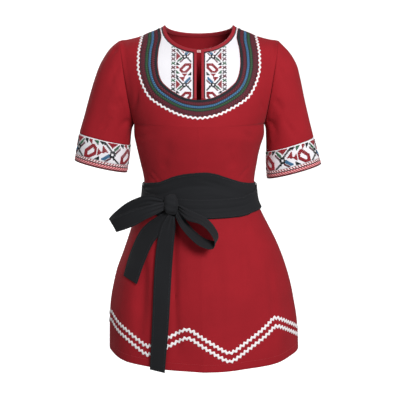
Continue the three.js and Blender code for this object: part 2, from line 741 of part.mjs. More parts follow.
// The tie over it: its upper edge rises from its own width to the sash's between two angles.
const TIE = {
  cloth: 1.5,
  gap: SASH_GAP + SASH_CLOTH + 0.9,
  aboveEdge: 1.5,
  width: 44,
  fullWidth: 60,
  from: 60,
  to: 90,
};

function sashPiece(name, from, to, [gap, cloth], edges) {
  const angles = steps(Math.round((to - from) / SASH_STEP), from, to);
  const grid = (distance) =>
    steps(SASH_ROWS).map((t) =>
      angles.map((angle) => {
        const { top, bottom } = edges(angle);
        return offBody(radians(angle), mix(bottom, top, t), distance);
      }),
    );
  addPiece(name, wall(grid(gap + cloth), grid(gap)), COLOURS.sash);
}

const sashEdges = (angle) => ({ top: SASH("top", angle), bottom: SASH("bottom", angle) });
const backEdges = (angle) => sashEdges(angle > 180 ? angle - 360 : angle);
// The tie comes round from the back and narrows to the knot.
const tieEdges = (angle) => {
  const bottom = SASH("bottom", angle) + TIE.aboveEdge;
  const widen = THREE.MathUtils.smoothstep(Math.abs(angle), TIE.from, TIE.to);
  return { top: bottom + mix(TIE.width, TIE.fullWidth, widen), bottom };
};
const SASH_SEAM = 89.85; // the side seams, in degrees from the middle of each half
sashPiece("sash_front", -SASH_SEAM, SASH_SEAM, [SASH_GAP, SASH_CLOTH], sashEdges);
sashPiece("sash_back", 180 - SASH_SEAM, 180 + SASH_SEAM, [SASH_GAP, SASH_CLOTH], backEdges);
sashPiece("sash_tie_right", -22.5, SASH_SEAM, [TIE.gap, TIE.cloth], tieEdges);
sashPiece("sash_tie_left", -SASH_SEAM, -37.5, [TIE.gap, TIE.cloth], tieEdges);

// The knot is a soft lump on the sash, clear of the curve of the ties.
const KNOT = { x: -65, z: -415, halfWidth: 17, halfDepth: 11, halfHeight: 24, clear: 3.2 };

function sashSurfaceY(x, z, distance) {
  const share = (x - BODY("centreX", z)) / BODY("halfWidth", z);
  return offBody(Math.asin(THREE.MathUtils.clamp(share, -0.99, 0.99)), z, distance).y;
}

const knotY = sashSurfaceY(KNOT.x, KNOT.z, TIE.gap + TIE.cloth) - KNOT.halfDepth - KNOT.clear;

function makeKnot() {
  const geometry = new THREE.SphereGeometry(1, 14, 9);
  geometry.scale(KNOT.halfWidth, KNOT.halfDepth, KNOT.halfHeight);
  geometry.translate(KNOT.x, knotY, KNOT.z);
  addGeometry("bow_knot", geometry, COLOURS.sash);
}

makeKnot();

const RIBBON_COLUMNS = [-1, 0, 1]; // places across a ribbon

// A ribbon along stations, each with its middle point, the direction of its width and half its width.
function ribbon(name, stations, cells) {
  const curve = (pick) => new THREE.CatmullRomCurve3(stations.map(pick));
  const middle = curve(([point]) => new THREE.Vector3(...point));
  const widths = curve(([, width]) => new THREE.Vector3(...width));
  const halves = curve(([, , half]) => new THREE.Vector3(half, 0, 0));
  const row = (side, distance) =>
    steps(cells).map((t) => {
      const across = widths.getPoint(t).normalize();
      const normal = new THREE.Vector3().crossVectors(middle.getTangent(t), across).normalize();
      const point = middle.getPoint(t).addScaledVector(across, side * halves.getPoint(t).x);
      return point.addScaledVector(normal, distance);
    });
  const outer = RIBBON_COLUMNS.map((side) => row(side, TIE.cloth / 2));
  const inner = RIBBON_COLUMNS.map((side) => row(side, -TIE.cloth / 2));
  addPiece(name, wall(outer, inner), COLOURS.sash);
}

// The loop to the viewer's left: out along the front layer, round the far end and back behind.
ribbon("bow_loop_left", [
  [[-81.7, knotY - 4, -418], [-0.1, 0, -1], 10],
  [[-112, knotY - 10, -428], [-0.25, 0, -1], 17],
  [[-158, knotY + 8, -449], [0.2, 0, -1], 19],
  [[-196, knotY + 34, -468], [0.42, 0, -0.9], 18],
  [[-206, knotY + 46, -472], [0.47, 0, -0.88], 18],
  [[-198, knotY + 54, -462], [0.42, 0, -0.9], 18],
  [[-165, knotY + 40, -433], [0.1, 0, -1], 19],
  [[-122, knotY + 14, -411], [-0.2, 0, -1], 17],
  [[-82.2, knotY + 3, -411], [-0.1, 0, -1], 10],
], 22);

// The loop to the right hangs open in front of the skirt.
const loopWidth = [0.26, 0.9, 0.33];
ribbon("bow_loop_right", [
  [[-47.2, knotY - 1, -422], [0, 0.3, 0.95], 8],
  [[-28, knotY - 22, -433], [0.05, 0.7, 0.7], 16],
  [[10, knotY - 40, -446], loopWidth, 18],
  [[29, knotY - 44, -464], loopWidth, 18],
  [[40, knotY - 45, -486], loopWidth, 18],
  [[36, knotY - 45, -500], loopWidth, 18],
  [[10, knotY - 43, -496], loopWidth, 18],
  [[-14, knotY - 38, -479], loopWidth, 18],
  [[-36, knotY - 26, -456], [0.35, 0.8, 0.4], 15],
  [[-52.5, knotY - 5, -434.5], [0.3, 0.5, 0.8], 7],
], 24);

// The two ends hang down over the skirt, clear of the ricrac. A place is given in the front view,
// with its distance from the body's form and half the ribbon's width there.
function tail(name, places, cells) {
  const curve = (pick) => new THREE.CatmullRomCurve3(places.map(pick));
  const path = curve(([x, z]) => new THREE.Vector3(x, 0, z));
  const sizes = curve(([, , gap, half]) => new THREE.Vector3(gap, half, 0));
  const row = (side, distance) =>
    steps(cells).map((t) => {
      const { x, z } = path.getPoint(t);
      const { x: gap, y: half } = sizes.getPoint(t);
      const tangent = path.getTangent(t);
      const [edgeX, edgeZ] = [x - side * half * tangent.z, z + side * half * tangent.x];
      return new THREE.Vector3(edgeX, sashSurfaceY(edgeX, edgeZ, gap) - distance, edgeZ);
    });
  const outer = RIBBON_COLUMNS.map((side) => row(side, TIE.cloth));
  const inner = RIBBON_COLUMNS.map((side) => row(side, 0));
  addPiece(name, wall(outer, inner), COLOURS.sash);
}

tail("tail_left", [
  [-73, -436.1, 13.5, 7],
  [-90, -457, 8, 15],
  [-108, -476, 5, 19],
  [-125, -497, 3.8, 20],
  [-148, -548, 3.4, 20],
  [-164.5, -599, 3.4, 18.5],
], 12);
tail("tail_right", [
  [-64, -439.8, 18.5, 8],
  [-70, -462, 13, 16],
  [-76, -490, 9, 19],
  [-80.5, -525, 6, 20.5],
  [-85, -588, 3.8, 20.5],
  [-89.5, -680, 3.4, 20],
  [-98, -803, 3.4, 18],
], 20);

// ---- Neck fastening ---------------------------------------------------------------------------

// A thread bar joins the two ends of the neck binding above the slit.
const BAR = { width: 9.4, height: 6, depth: 2, z: -62.5 };

function neckBar() {
  const geometry = new THREE.BoxGeometry(BAR.width, BAR.depth, BAR.height);
  geometry.translate(0, panelPoint("front", 0, 3.5).y, BAR.z);
  addGeometry("neck_bar", geometry, COLOURS.pink);
}

neckBar();

export default pieces;
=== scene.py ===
import math
from functools import lru_cache

import bpy
import numpy as np
from bpy.props import FloatProperty, FloatVectorProperty, IntProperty, PointerProperty
from mathutils import Matrix, Vector
from mathutils.bvhtree import BVHTree
from mathutils.interpolate import poly_3d_calc


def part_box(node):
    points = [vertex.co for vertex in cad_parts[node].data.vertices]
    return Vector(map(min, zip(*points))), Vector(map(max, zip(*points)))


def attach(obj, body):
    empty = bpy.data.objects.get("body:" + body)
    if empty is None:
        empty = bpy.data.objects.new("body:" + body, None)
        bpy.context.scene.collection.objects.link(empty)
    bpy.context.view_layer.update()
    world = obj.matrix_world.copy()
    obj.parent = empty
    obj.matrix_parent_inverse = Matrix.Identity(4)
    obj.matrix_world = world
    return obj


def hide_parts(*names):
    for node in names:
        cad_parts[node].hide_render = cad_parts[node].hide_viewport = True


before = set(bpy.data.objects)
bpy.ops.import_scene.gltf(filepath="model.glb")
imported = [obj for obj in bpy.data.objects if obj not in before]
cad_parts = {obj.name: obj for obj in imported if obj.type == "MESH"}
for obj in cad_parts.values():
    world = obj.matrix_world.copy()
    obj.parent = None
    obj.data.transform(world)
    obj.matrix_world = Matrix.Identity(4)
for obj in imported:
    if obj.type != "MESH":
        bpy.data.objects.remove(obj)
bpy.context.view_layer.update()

bl_info = {
    "name": "Folk Tunic with Sash",
    "version": (1, 0, 0),
    "blender": (4, 5, 0),
    "location": "3D View > Sidebar > Tunic",
    "description": "Makes a short-sleeved folk tunic with braids, cross-stitch, ricrac and a tied sash",
    "category": "Add Mesh",
}

MM = 0.001
TURN = 2 * math.pi

# ---- Sizes of the garment's form ----------------------------------------------------------------
CLOTH = 2.0
TRIM = 1.2
SEAM = 0.3
SEWN_SHUT = 0.04  # share of that gap left where the two panels are sewn together
LIFT = 0.2  # from a piece of cloth to what is sewn on it
STITCH_LIFT = 0.1  # from a piece of cloth to the middle of its stitches
HEM_Z = -790.0
HEM_DIP = {"front": 10.0, "back": 6.0}
HEM_DIP_END_Z = -640.0
UNDERARM = (157.0, -235.0)
SHOULDER = (188.0, -36.0)
NECK_X = 80.0
BINDING_WIDTH = 8.0
SLIT = {"half": 5.3, "bottom": -172.5, "binding": 8.0}
STRETCHES = [(HEM_Z, 8), (-470.0, 8), (-310.0, 3)]
ARMHOLE_ROWS = 8
SHOULDER_ROWS = 6
BODY_COLUMNS = 11
FINE_ROWS = 6  # finer rows and columns between those of the solid
FINE_COLUMNS = 5
# Evening out at the shoulder point: rows each way, shares of the half-width where it sets in, strength.
RELAX = {"rows": 0.8, "aside": (0.15, 0.45), "pull": 0.5, "rounds": 10}
FRONT_RAY = (400.0, 1000.0)  # start and reach of the lines that find the cloth from the front
BODY_RAY = (25.0, 60.0)  # and of those that find it from just outside the body
SHARP_ANGLE = math.radians(50)  # edges sharper than this aren't smoothed


class Table:
    """Named columns looked up by the first one, smooth between rows and never past a row."""

    def __init__(self, names, rows):
        data = np.array(sorted(rows), float)
        self.keys = data[:, 0]
        self.columns = dict(zip(names, data.T))
        self.slopes = {name: self._slopes(column) for name, column in self.columns.items()}

    def _slopes(self, column):
        rise = np.diff(column) / np.diff(self.keys)
        before, after = rise[:-1], rise[1:]
        total = np.where(before + after == 0, 1, before + after)
        middle = np.where(before * after <= 0, 0, 2 * before * after / total)
        return np.concatenate([rise[:1], middle, rise[-1:]])

    def __call__(self, name, key):
        keys, values, slopes = self.keys, self.columns[name], self.slopes[name]
        key = np.clip(key, keys[0], keys[-1])
        i = np.clip(np.searchsorted(keys, key, side="right") - 1, 0, len(keys) - 2)
        span = keys[i + 1] - keys[i]
        t = (key - keys[i]) / span
        bend = t * t * (3 - 2 * t)
        leave = t * (1 - t) ** 2 * span * slopes[i]
        arrive = t * t * (t - 1) * span * slopes[i + 1]
        return values[i] + (values[i + 1] - values[i]) * bend + leave + arrive


BODY = Table(["z", "half", "centre", "front", "back"], [
    (-17, 157, 0, 45, 70), (-25, 157, 0, 49, 74), (-58, 157, 0, 65, 85), (-66, 157, 0, 69.5, 87),
    (-85, 157, 0, 80, 91), (-110, 157, 0, 93, 95), (-135, 157, 0, 104, 98), (-172, 157, 0, 117, 99.5),
    (-200, 157, 0, 123, 99), (-235, 157, 0, 127, 97), (-249, 158, 0.7, 126, 95),
    (-298, 147.5, -1.5, 116, 88), (-334, 140.5, -0.5, 105, 82), (-371, 134.5, 0.6, 97, 78),
    (-396, 136, 1.3, 98, 80), (-421, 140, 1.3, 101, 84), (-445, 151, 1, 107, 90),
    (-470, 162.5, 1.9, 114, 98), (-495, 173.7, 4.9, 121, 106), (-521, 184, 6, 128, 112),
    (-546, 194, 7.4, 134, 118), (-571, 204, 6.8, 140, 123), (-622, 219, 7.5, 150, 132),
    (-673, 229, 8, 158, 139), (-725, 235, 10.6, 165, 145), (-800, 238, 12, 172, 150),
])
SHOULDER_LINE = Table(["x", "z"], [
    (NECK_X, 0), (92, -7), (116, -15), (135, -24), (164, -32), (SHOULDER[0], SHOULDER[1]),
])
# The skirt's troughs: angle from centre front, half-width at the hem, depth at the hem, height of the top.
FOLDS = [
    (-72, 11, 4, -520), (-35, 10, 7, -560), (-13, 9, 6, -480), (27, 12, 6, -455), (64, 11, 5, -500),
    (112, 12, 6, -500), (146, 11, 7, -470), (180, 10, 6, -530), (213, 12, 7, -460), (250, 11, 5, -510),
]
PANELS = {
    "front": {"turn": 1, "armhole": 55, "centre": (-110, -66, -58)},
    "back": {"turn": -1, "armhole": 50, "centre": (-60, -25, -17)},
}


def mix(a, b, t):
    return a + (b - a) * t


def unit(vectors):
    vectors = np.asarray(vectors, float)
    return vectors / np.maximum(np.linalg.norm(vectors, axis=-1, keepdims=True), 1e-9)


def smoothstep(value, low, high):
    t = np.clip((value - low) / (high - low), 0, 1)
    return t * t * (3 - 2 * t)


def body_point(phi, z):
    """The body below the underarm; phi turns from centre front to the viewer's right."""
    phi, z = np.broadcast_arrays(np.asarray(phi, float), np.asarray(z, float))
    inward = 0.0
    for angle, spread, depth, top in FOLDS:
        down = np.clip((top - z) / (top - HEM_Z), 0, 1)
        across = (np.mod(phi - math.radians(angle) + math.pi, TURN) - math.pi) / math.radians(spread)
        inward = inward + depth * down * (2 - down) * np.exp(-across * across)
    depth = np.where(np.cos(phi) >= 0, BODY("front", z), BODY("back", z)) - inward
    x = BODY("centre", z) + (BODY("half", z) - inward) * np.sin(phi)
    return np.stack([x, -depth * np.cos(phi), z], axis=-1)


def body_normal(phi, z):
    step = 1e-3
    along = body_point(phi + step, z) - body_point(phi - step, z)
    up = body_point(phi, z + 0.1) - body_point(phi, z - 0.1)
    return unit(np.cross(along, up))


def off_body(phi, z, distance):
    return body_point(phi, z) + body_normal(phi, z) * np.asarray(distance, float)[..., None]


def hem_dip(name, phi, z):
    fade = np.clip((HEM_DIP_END_Z - z) / (HEM_DIP_END_Z - HEM_Z), 0, 1)
    return HEM_DIP[name] * fade * abs(math.cos(phi))


def panel_row(name, v):
    """A row of a panel above the underarm: v is 1 underarm, 2 shoulder point, 3 binding, 4 neck edge."""
    panel = PANELS[name]
    at_armhole, at_binding, at_neck = panel["centre"]
    if v <= 2:
        alpha = math.pi * (v - 1)
        rise = (1 - math.cos(alpha)) / 2
        centre_z = mix(UNDERARM[1], at_armhole, rise)
        depth = float(BODY(name, centre_z))
        reach = math.acos(panel["armhole"] * math.sin(alpha) / depth)
        half = mix(UNDERARM[0], SHOULDER[0], rise) / math.sin(reach)
        return reach, depth, half, centre_z, mix(UNDERARM[1], SHOULDER[1], rise), 1.0
    binding_x = NECK_X + BINDING_WIDTH
    if v <= 3:
        half, centre_z = mix(SHOULDER[0], binding_x, v - 2), mix(at_armhole, at_binding, v - 2)
    else:
        half, centre_z = mix(binding_x, NECK_X, v - 3), mix(at_binding, at_neck, v - 3)
    edge_z = float(SHOULDER_LINE("z", half))
    return math.pi / 2, float(BODY(name, centre_z)), half, centre_z, edge_z, max(0.0, 3 - v)


def panel_point(name, share, v):
    """A point of a panel; share runs from -1 at one side edge to 1 at the other."""
    turn = PANELS[name]["turn"]
    if v <= 1:
        z = mix(HEM_Z, UNDERARM[1], v)
        phi = share * math.pi / 2
        return body_point(phi if turn > 0 else math.pi - phi, z - hem_dip(name, phi, z))
    reach, depth, half, centre_z, edge_z, rounding = panel_row(name, v)
    phi = share * reach
    out = math.sin(phi) / math.sin(reach)
    rise = mix(1 - math.sqrt(max(0.0, 1 - out * out)), out * out, rounding)
    return np.array([half * math.sin(phi), -turn * depth * math.cos(phi), mix(centre_z, edge_z, rise)])


def panel_normal(name, share, v):
    step = 1e-3
    along = panel_point(name, share + step, v) - panel_point(name, share - step, v)
    up = panel_point(name, share, v + step) - panel_point(name, share, v - step)
    point = panel_point(name, share, v)
    away = np.array([point[0], point[1], 60.0 if v > 1.5 else 0.0])
    normal = unit(np.cross(along, up))
    return normal if normal @ away > 0 else -normal


def panel_rows():
    """The places v of a panel's rows, from the hem to the neck binding."""
    rows = []
    for i, (start, count) in enumerate(STRETCHES):
        end = STRETCHES[i + 1][0] if i + 1 < len(STRETCHES) else UNDERARM[1]
        height = [(z - HEM_Z) / (UNDERARM[1] - HEM_Z) for z in (start, end)]
        rows += [*np.linspace(*height, count, endpoint=False)]
    armhole = np.linspace(1, 2, ARMHOLE_ROWS, endpoint=False)
    return [*rows, *armhole, *np.linspace(2, 3, SHOULDER_ROWS + 1)]


ROWS = panel_rows()
SLIT_ROW = sum(count for _, count in STRETCHES) + ARMHOLE_ROWS // 2


def panel_shares(name, v):
    """The places of a row's columns, which keep clear of the slit all the way down."""
    reach, half = math.pi / 2, BODY("half", HEM_Z)
    if v > 1:
        reach, _, half, *_ = panel_row(name, v)
    slit = math.asin(SLIT["half"] / half) / reach
    right = np.linspace(slit, 1, BODY_COLUMNS + 1)
    return np.concatenate([-right[::-1], right])


def relax(points):
    """Evens out the cloth where the armhole and the shoulder seam meet; its edges stay."""
    columns = np.arange(points.shape[1])
    off_centre = np.abs(columns - BODY_COLUMNS - 0.5) / BODY_COLUMNS
    aside = smoothstep(off_centre, *RELAX["aside"])
    near = np.maximum(0, 1 - np.abs(np.array(ROWS) - 2) / RELAX["rows"])
    pull = RELAX["pull"] * near[1:-1, None] * aside[None, 1:-1]
    for _ in range(RELAX["rounds"]):
        around = (points[:-2, 1:-1] + points[2:, 1:-1] + points[1:-1, :-2] + points[1:-1, 2:]) / 4
        points[1:-1, 1:-1] += pull[..., None] * (around - points[1:-1, 1:-1])
    return points


def grid_normals(points):
    """Normals of a grid of points, from its neighbours along and across."""
    return unit(np.cross(np.gradient(points, axis=1), np.gradient(points, axis=0)))


def refine(grid, count):
    """Finer rows on smooth curves through the rows of a grid."""
    padded = np.concatenate([[2 * grid[0] - grid[1]], grid, [2 * grid[-1] - grid[-2]]])
    a, b, c, d = padded[:-3, None], padded[1:-2, None], padded[2:-1, None], padded[3:, None]
    u = (np.arange(count) / count).reshape([1, count] + [1] * (grid.ndim - 1))
    curve = 0.5 * (2 * b + (c - a) * u + (2 * a - 5 * b + 4 * c - d) * u**2 + (3 * b - a - 3 * c + d) * u**3)
    return np.concatenate([curve.reshape((-1,) + grid.shape[1:]), grid[-1:]])


def coarse_panel(name):
    """Points and normals of a panel on its solid's own rows and columns."""
    turn = PANELS[name]["turn"]
    points = relax(np.array([[panel_point(name, share, v) for share in panel_shares(name, v)] for v in ROWS]))
    normals = grid_normals(points) * turn
    rows = np.array(ROWS)
    seam_rows = (rows <= 1) | (rows >= 2)
    tilt = unit([SHOULDER[0] - UNDERARM[0], SHOULDER[1] - UNDERARM[1]])
    for column in (0, -1):
        side = np.sign(points[len(ROWS) // 2, column, 0])
        normals[seam_rows, column, 1] = 0
        to_sleeve = np.array([side * tilt[1], 0, -tilt[0]])
        over = rows > 1
        inward = np.minimum(0, normals[over, column] @ to_sleeve)
        normals[over, column] -= inward[:, None] * to_sleeve
        points[seam_rows, column, 1] -= turn * SEAM / 2
    return points, unit(normals)


# ---- Creases --------------------------------------------------------------------------------------

def line_through(places, count=28):
    """Evenly counted places on a smooth line through a few."""
    places = np.asarray(places, float)
    fine = refine(places, count)
    return fine[np.linspace(0, len(fine) - 1, count).round().astype(int)]


def press(points, normals, creases):
    """Moves cloth along its normals by soft, uneven creases: (path, half-width, depth), in its own places.
    A path is a line of points on the cloth; a negative depth is a ridge."""
    moved = np.zeros(points.shape[:-1])
    flat = points.reshape(-1, 3)
    for number, (path, half, depth) in enumerate(creases):
        start, ends = path[:-1], path[1:]
        along = ends - start
        length2 = np.maximum((along**2).sum(-1), 1e-9)
        near = np.abs(flat - path.mean(0)).max(-1) < np.abs(path - path.mean(0)).max() + 4 * half
        spots = flat[near]
        t = np.clip(((spots[:, None] - start) * along).sum(-1) / length2, 0, 1)
        gap = np.linalg.norm(spots[:, None] - (start + t[..., None] * along), axis=-1)
        which = gap.argmin(1)
        rows = np.arange(len(spots))
        way = (which + t[rows, which]) / len(along)
        fade = np.sin(math.pi * np.clip(way, 0.02, 0.98)) ** 0.7
        uneven = 1 + 0.3 * np.sin(5.3 * way + 1.7 * number) + 0.15 * np.sin(13 * way + number)
        width = half * (0.8 + 0.4 * np.sin(3.1 * way + number) ** 2)
        amount = np.zeros(len(flat))
        amount[near] = depth * fade * uneven * np.exp(-((gap[rows, which] / width) ** 2))
        moved += amount.reshape(moved.shape)
    return points - normals * moved[..., None]


def fading(count, rows):
    """Shares that rise from 0 at both ends of a grid to 1 some rows in, so that its seams stay in place."""
    return np.clip(np.minimum(np.arange(count), np.arange(count)[::-1]) / rows, 0, 1)


# Creases in the front view: half-width, depth, then the places they pass through.
CREASES = {"front": [
    (14, 8.0, (-128, -540), (-136, -640), (-140, -740)),
    (10, 9.5, (-60, -464), (-59, -560), (-56, -660), (-50, -755)),
    (12, -1.6, (-30, -500), (-24, -590), (-20, -690)),
    (12, 3.6, (104, -480), (110, -560), (112, -640)),
    (16, 3.2, (35, -490), (48, -590), (52, -700)),
    (14, 3.2, (165, -560), (176, -640), (181, -730)),
    (5, 1.4, (96, -452), (112, -470), (121, -496)),
    (4, 1.1, (82, -455), (92, -476), (97, -500)),
    (5, 1.2, (-10, -455), (-14, -490), (-16, -540)),
    (5, 1.3, (-118, -336), (-104, -350), (-84, -372)),
    (4, 1.1, (-124, -352), (-110, -362), (-96, -376)),
    (5, 1.1, (122, -330), (106, -344), (88, -366)),
    (9, 2.6, (-154, -262), (-120, -256), (-90, -240)),
    (9, 2.4, (156, -262), (124, -260), (96, -246)),
    (8, 2.4, (-160, -206), (-146, -176), (-140, -140)),
    (8, 2.4, (160, -210), (147, -182), (141, -144)),
    (13, 2.2, (-70, -262), (-76, -300), (-82, -338)),
    (13, 2.2, (70, -262), (76, -300), (80, -336)),
], "back": [
    (13, 4.6, (-118, -560), (-128, -650), (-134, -740)),
    (12, 4.2, (-40, -540), (-46, -640), (-50, -745)),
    (12, 4.4, (40, -520), (48, -620), (54, -730)),
    (13, 3.8, (130, -560), (142, -650), (150, -740)),
    (5, 1.4, (-96, -452), (-108, -474), (-114, -502)),
    (5, 1.3, (70, -452), (80, -476), (86, -506)),
    (5, 1.2, (-20, -452), (-22, -478), (-26, -510)),
    (6, 1.4, (-112, -330), (-96, -346), (-76, -370)),
    (6, 1.4, (112, -330), (98, -346), (80, -368)),
    (7, 1.2, (-10, -320), (-6, -345), (-4, -372)),
    (9, 1.4, (-150, -250), (-122, -232), (-92, -196)),
    (9, 1.4, (150, -250), (122, -232), (94, -198)),
    (10, 1.0, (-60, -120), (0, -132), (60, -120)),
]}


class Surface:
    """The outer side of cloth, for laying other pieces on it."""

    def __init__(self, *forms):
        self.points, self.normals, self.faces = [], [], []
        for points, normals in forms:
            first = len(self.points)
            rows, columns = points.shape[:2]
            self.points += [Vector(point) for point in points.reshape(-1, 3)]
            self.normals += [Vector(normal) for normal in normals.reshape(-1, 3)]
            for r in range(rows - 1):
                for c in range(columns - 1):
                    a = first + r * columns + c
                    self.faces += [(a, a + 1, a + 1 + columns), (a, a + 1 + columns, a + columns)]
        self.tree = BVHTree.FromPolygons(self.points, self.faces)
        self.near = Vector((0, 0, 0))

    def lay(self, origin, direction, reach):
        """The point and normal of the cloth that a straight line from the origin meets within its reach.
        A line that slips through a seam takes the nearest place beside the last one."""
        origin, direction = Vector(origin), Vector(direction).normalized()
        hit, _, index, _ = self.tree.ray_cast(origin, direction, reach)
        if hit is None:
            depth = (self.near - origin).dot(direction)
            hit, _, index, _ = self.tree.find_nearest(origin + direction * depth)
        self.near = hit
        corners = self.faces[index]
        shares = poly_3d_calc([self.points[i] for i in corners], hit)
        normal = sum((self.normals[i] * share for i, share in zip(corners, shares)), Vector())
        return np.array(hit), np.array(normal.normalized())


def from_front(surface, x, z, side=-1):
    start, reach = FRONT_RAY
    return surface.lay((x, side * start, z), (0, -side, 0), reach)


@lru_cache
def panel_form(name):
    """Points and normals of a panel's outer side, with its creases."""
    points, normals = (np.swapaxes(refine(np.swapaxes(refine(grid, FINE_ROWS), 0, 1), FINE_COLUMNS), 0, 1)
                       for grid in coarse_panel(name))
    normals = unit(normals)
    edges = points[:, [0, -1], 1]
    points[:, [0, -1], 1] = np.where(np.abs(edges) < SEAM, edges * SEWN_SHUT, edges)
    plain = Surface((points, normals))
    side = -PANELS[name]["turn"]
    paths = []
    for half, depth, *places in CREASES[name]:
        path = np.array([from_front(plain, x, z, side)[0] for x, z in line_through(places)])
        paths.append((path, half, depth))
    return mix(points, press(points, normals, paths), fading(points.shape[1], 6)[None, :, None]), normals


@lru_cache
def surface_of(*names):
    return Surface(*(panel_form(name) for name in names))


# ---- Meshes of cloth --------------------------------------------------------------------------------

# How cloth ends at an edge: distance from it, how far the cloth sinks there, and its share of thickness.
EDGES = {
    "seam": [(0, 0.8, 1), (0.9, 0.45, 1), (2.4, 0.12, 1)],
    "hem": [(0, 0, 0.3), (0.45, 0, 0.8), (1.1, 0, 1)],
    "cut": [],
}
POINT, NORMAL, THICK, SINK, THIN, UV, PLACE = (
    slice(0, 3), slice(3, 6), 6, 7, 8, slice(9, 11), slice(11, 13))


def end_rows(grid, kind):
    """Adds the rows that shape the cloth's edge at its first row."""
    if not EDGES[kind]:
        return grid
    length = np.linalg.norm(grid[1, :, POINT] - grid[0, :, POINT], axis=-1)[:, None]
    rows = []
    for distance, sink, thin in EDGES[kind]:
        if distance and distance > 0.85 * length.mean():
            break
        row = mix(grid[0], grid[1], np.minimum(distance / np.maximum(length, 1e-6), 0.85))
        row[:, SINK] = np.maximum(row[:, SINK], sink)
        row[:, THIN] = np.minimum(row[:, THIN], thin)
        rows.append(row)
    return np.concatenate([rows, grid[1:]])


def flat_places(points):
    """Places on the cloth in metres along and across it, for its weave."""
    across = np.linalg.norm(np.diff(points, axis=1), axis=-1)
    up = np.linalg.norm(np.diff(points, axis=0), axis=-1)
    u = np.concatenate([np.zeros((len(points), 1)), across.cumsum(1)], axis=1)
    v = np.concatenate([np.zeros((1, points.shape[1])), up.cumsum(0)], axis=0)
    return np.stack([u - u.mean(1, keepdims=True), v], axis=-1) * MM


def travelled(points):
    """The length along a line of points at each of them."""
    return np.concatenate([[0], np.linalg.norm(np.diff(points, axis=0), axis=-1).cumsum()])


def make_object(name, vertices, faces, corners, finish):
    """A mesh object in metres from points in millimetres, with its faces turned outward and its weave's
    places on every corner."""
    a, b, c, d = (vertices[[face[i] for face in faces]] for i in range(4))
    if ((np.cross(b - a, c - a) + np.cross(c - a, d - a)) * a).sum() < 0:
        faces, corners = ([part[::-1] for part in parts] for parts in (faces, corners))
    mesh = bpy.data.meshes.new(name)
    mesh.from_pydata((vertices * MM).tolist(), [], faces)
    mesh.uv_layers.new(name="cloth").data.foreach_set("uv", np.concatenate(corners).ravel())
    mesh.polygons.foreach_set("use_smooth", [True] * len(mesh.polygons))
    mesh.set_sharp_from_angle(angle=SHARP_ANGLE)
    mesh.materials.append(materials()[finish])
    made = bpy.data.objects.new(name, mesh)
    bpy.context.scene.collection.objects.link(made)
    return made


def shell(name, points, normals, thickness, finish, ends=("hem",) * 4, closed=False, cut=None):
    """Closed cloth of a thickness behind a grid of points. ends names how its first and last row and
    its first and last column end, and cells whose row and column cut() picks stay open."""
    rows, columns = points.shape[:2]
    places = np.stack(np.meshgrid(np.arange(rows), np.arange(columns), indexing="ij"), axis=-1)
    thick = np.broadcast_to(np.asarray(thickness, float), (rows, columns))[..., None]
    grid = np.concatenate([points, normals, thick, 0 * thick, 0 * thick + 1, 0 * places, places], axis=-1)
    if closed:
        grid = np.concatenate([grid, grid[:, :1]], axis=1)
        grid[:, -1, PLACE] += [0, columns]
    grid[..., UV] = flat_places(grid[..., POINT])
    for axis in (0,) if closed else (0, 1):
        first, last = ends[2 * axis:2 * axis + 2]
        grid = np.swapaxes(grid, 0, axis)
        grid = end_rows(end_rows(grid, first)[::-1], last)[::-1]
        grid = np.swapaxes(grid, 0, axis)
    rows, columns = grid.shape[:2]
    normal = unit(grid[..., NORMAL])
    sides = []
    for side in (-1, 1):
        depth = grid[..., SINK] + grid[..., THICK] * (1 + side * grid[..., THIN]) / 2
        sides.append(grid[..., POINT] - normal * depth[..., None])
    width = columns - 1 if closed else columns
    vertices = np.concatenate([side[:, :width].reshape(-1, 3) for side in sides])
    uvs = grid[..., UV].reshape(-1, 2)

    middle = (grid[:-1, :-1, PLACE] + grid[1:, 1:, PLACE]) / 2
    filled = np.ones(middle.shape[:2], bool) if cut is None else ~cut(middle[..., 0], middle[..., 1])
    ring = np.pad(filled, 1)
    if closed:
        ring[1:-1, 0], ring[1:-1, -1] = filled[:, -1], filled[:, 0]
    r, c = np.nonzero(filled)

    def corner(down, across, side):
        return np.stack([side * rows * width + (r + down) * width + (c + across) % width,
                         (r + down) * columns + c + across], axis=-1)

    def quads(keep, *pattern):
        return np.stack([corner(*spot) for spot in pattern], axis=1)[keep]

    # Corners are (row, column, side): the outer and inner side, then walls wherever no cell lies beyond.
    faces = np.concatenate([
        quads(..., (0, 0, 0), (0, 1, 0), (1, 1, 0), (1, 0, 0)),
        quads(..., (0, 0, 1), (1, 0, 1), (1, 1, 1), (0, 1, 1)),
        quads(~ring[r, c + 1], (0, 1, 0), (0, 0, 0), (0, 0, 1), (0, 1, 1)),
        quads(~ring[r + 2, c + 1], (1, 0, 0), (1, 1, 0), (1, 1, 1), (1, 0, 1)),
        quads(~ring[r + 1, c], (0, 0, 0), (1, 0, 0), (1, 0, 1), (0, 0, 1)),
        quads(~ring[r + 1, c + 2], (1, 1, 0), (0, 1, 0), (0, 1, 1), (1, 1, 1)),
    ])
    used, indices = np.unique(faces[..., 0], return_inverse=True)
    return make_object(name, vertices[used], indices.reshape(-1, 4).tolist(), uvs[faces[..., 1]], finish)


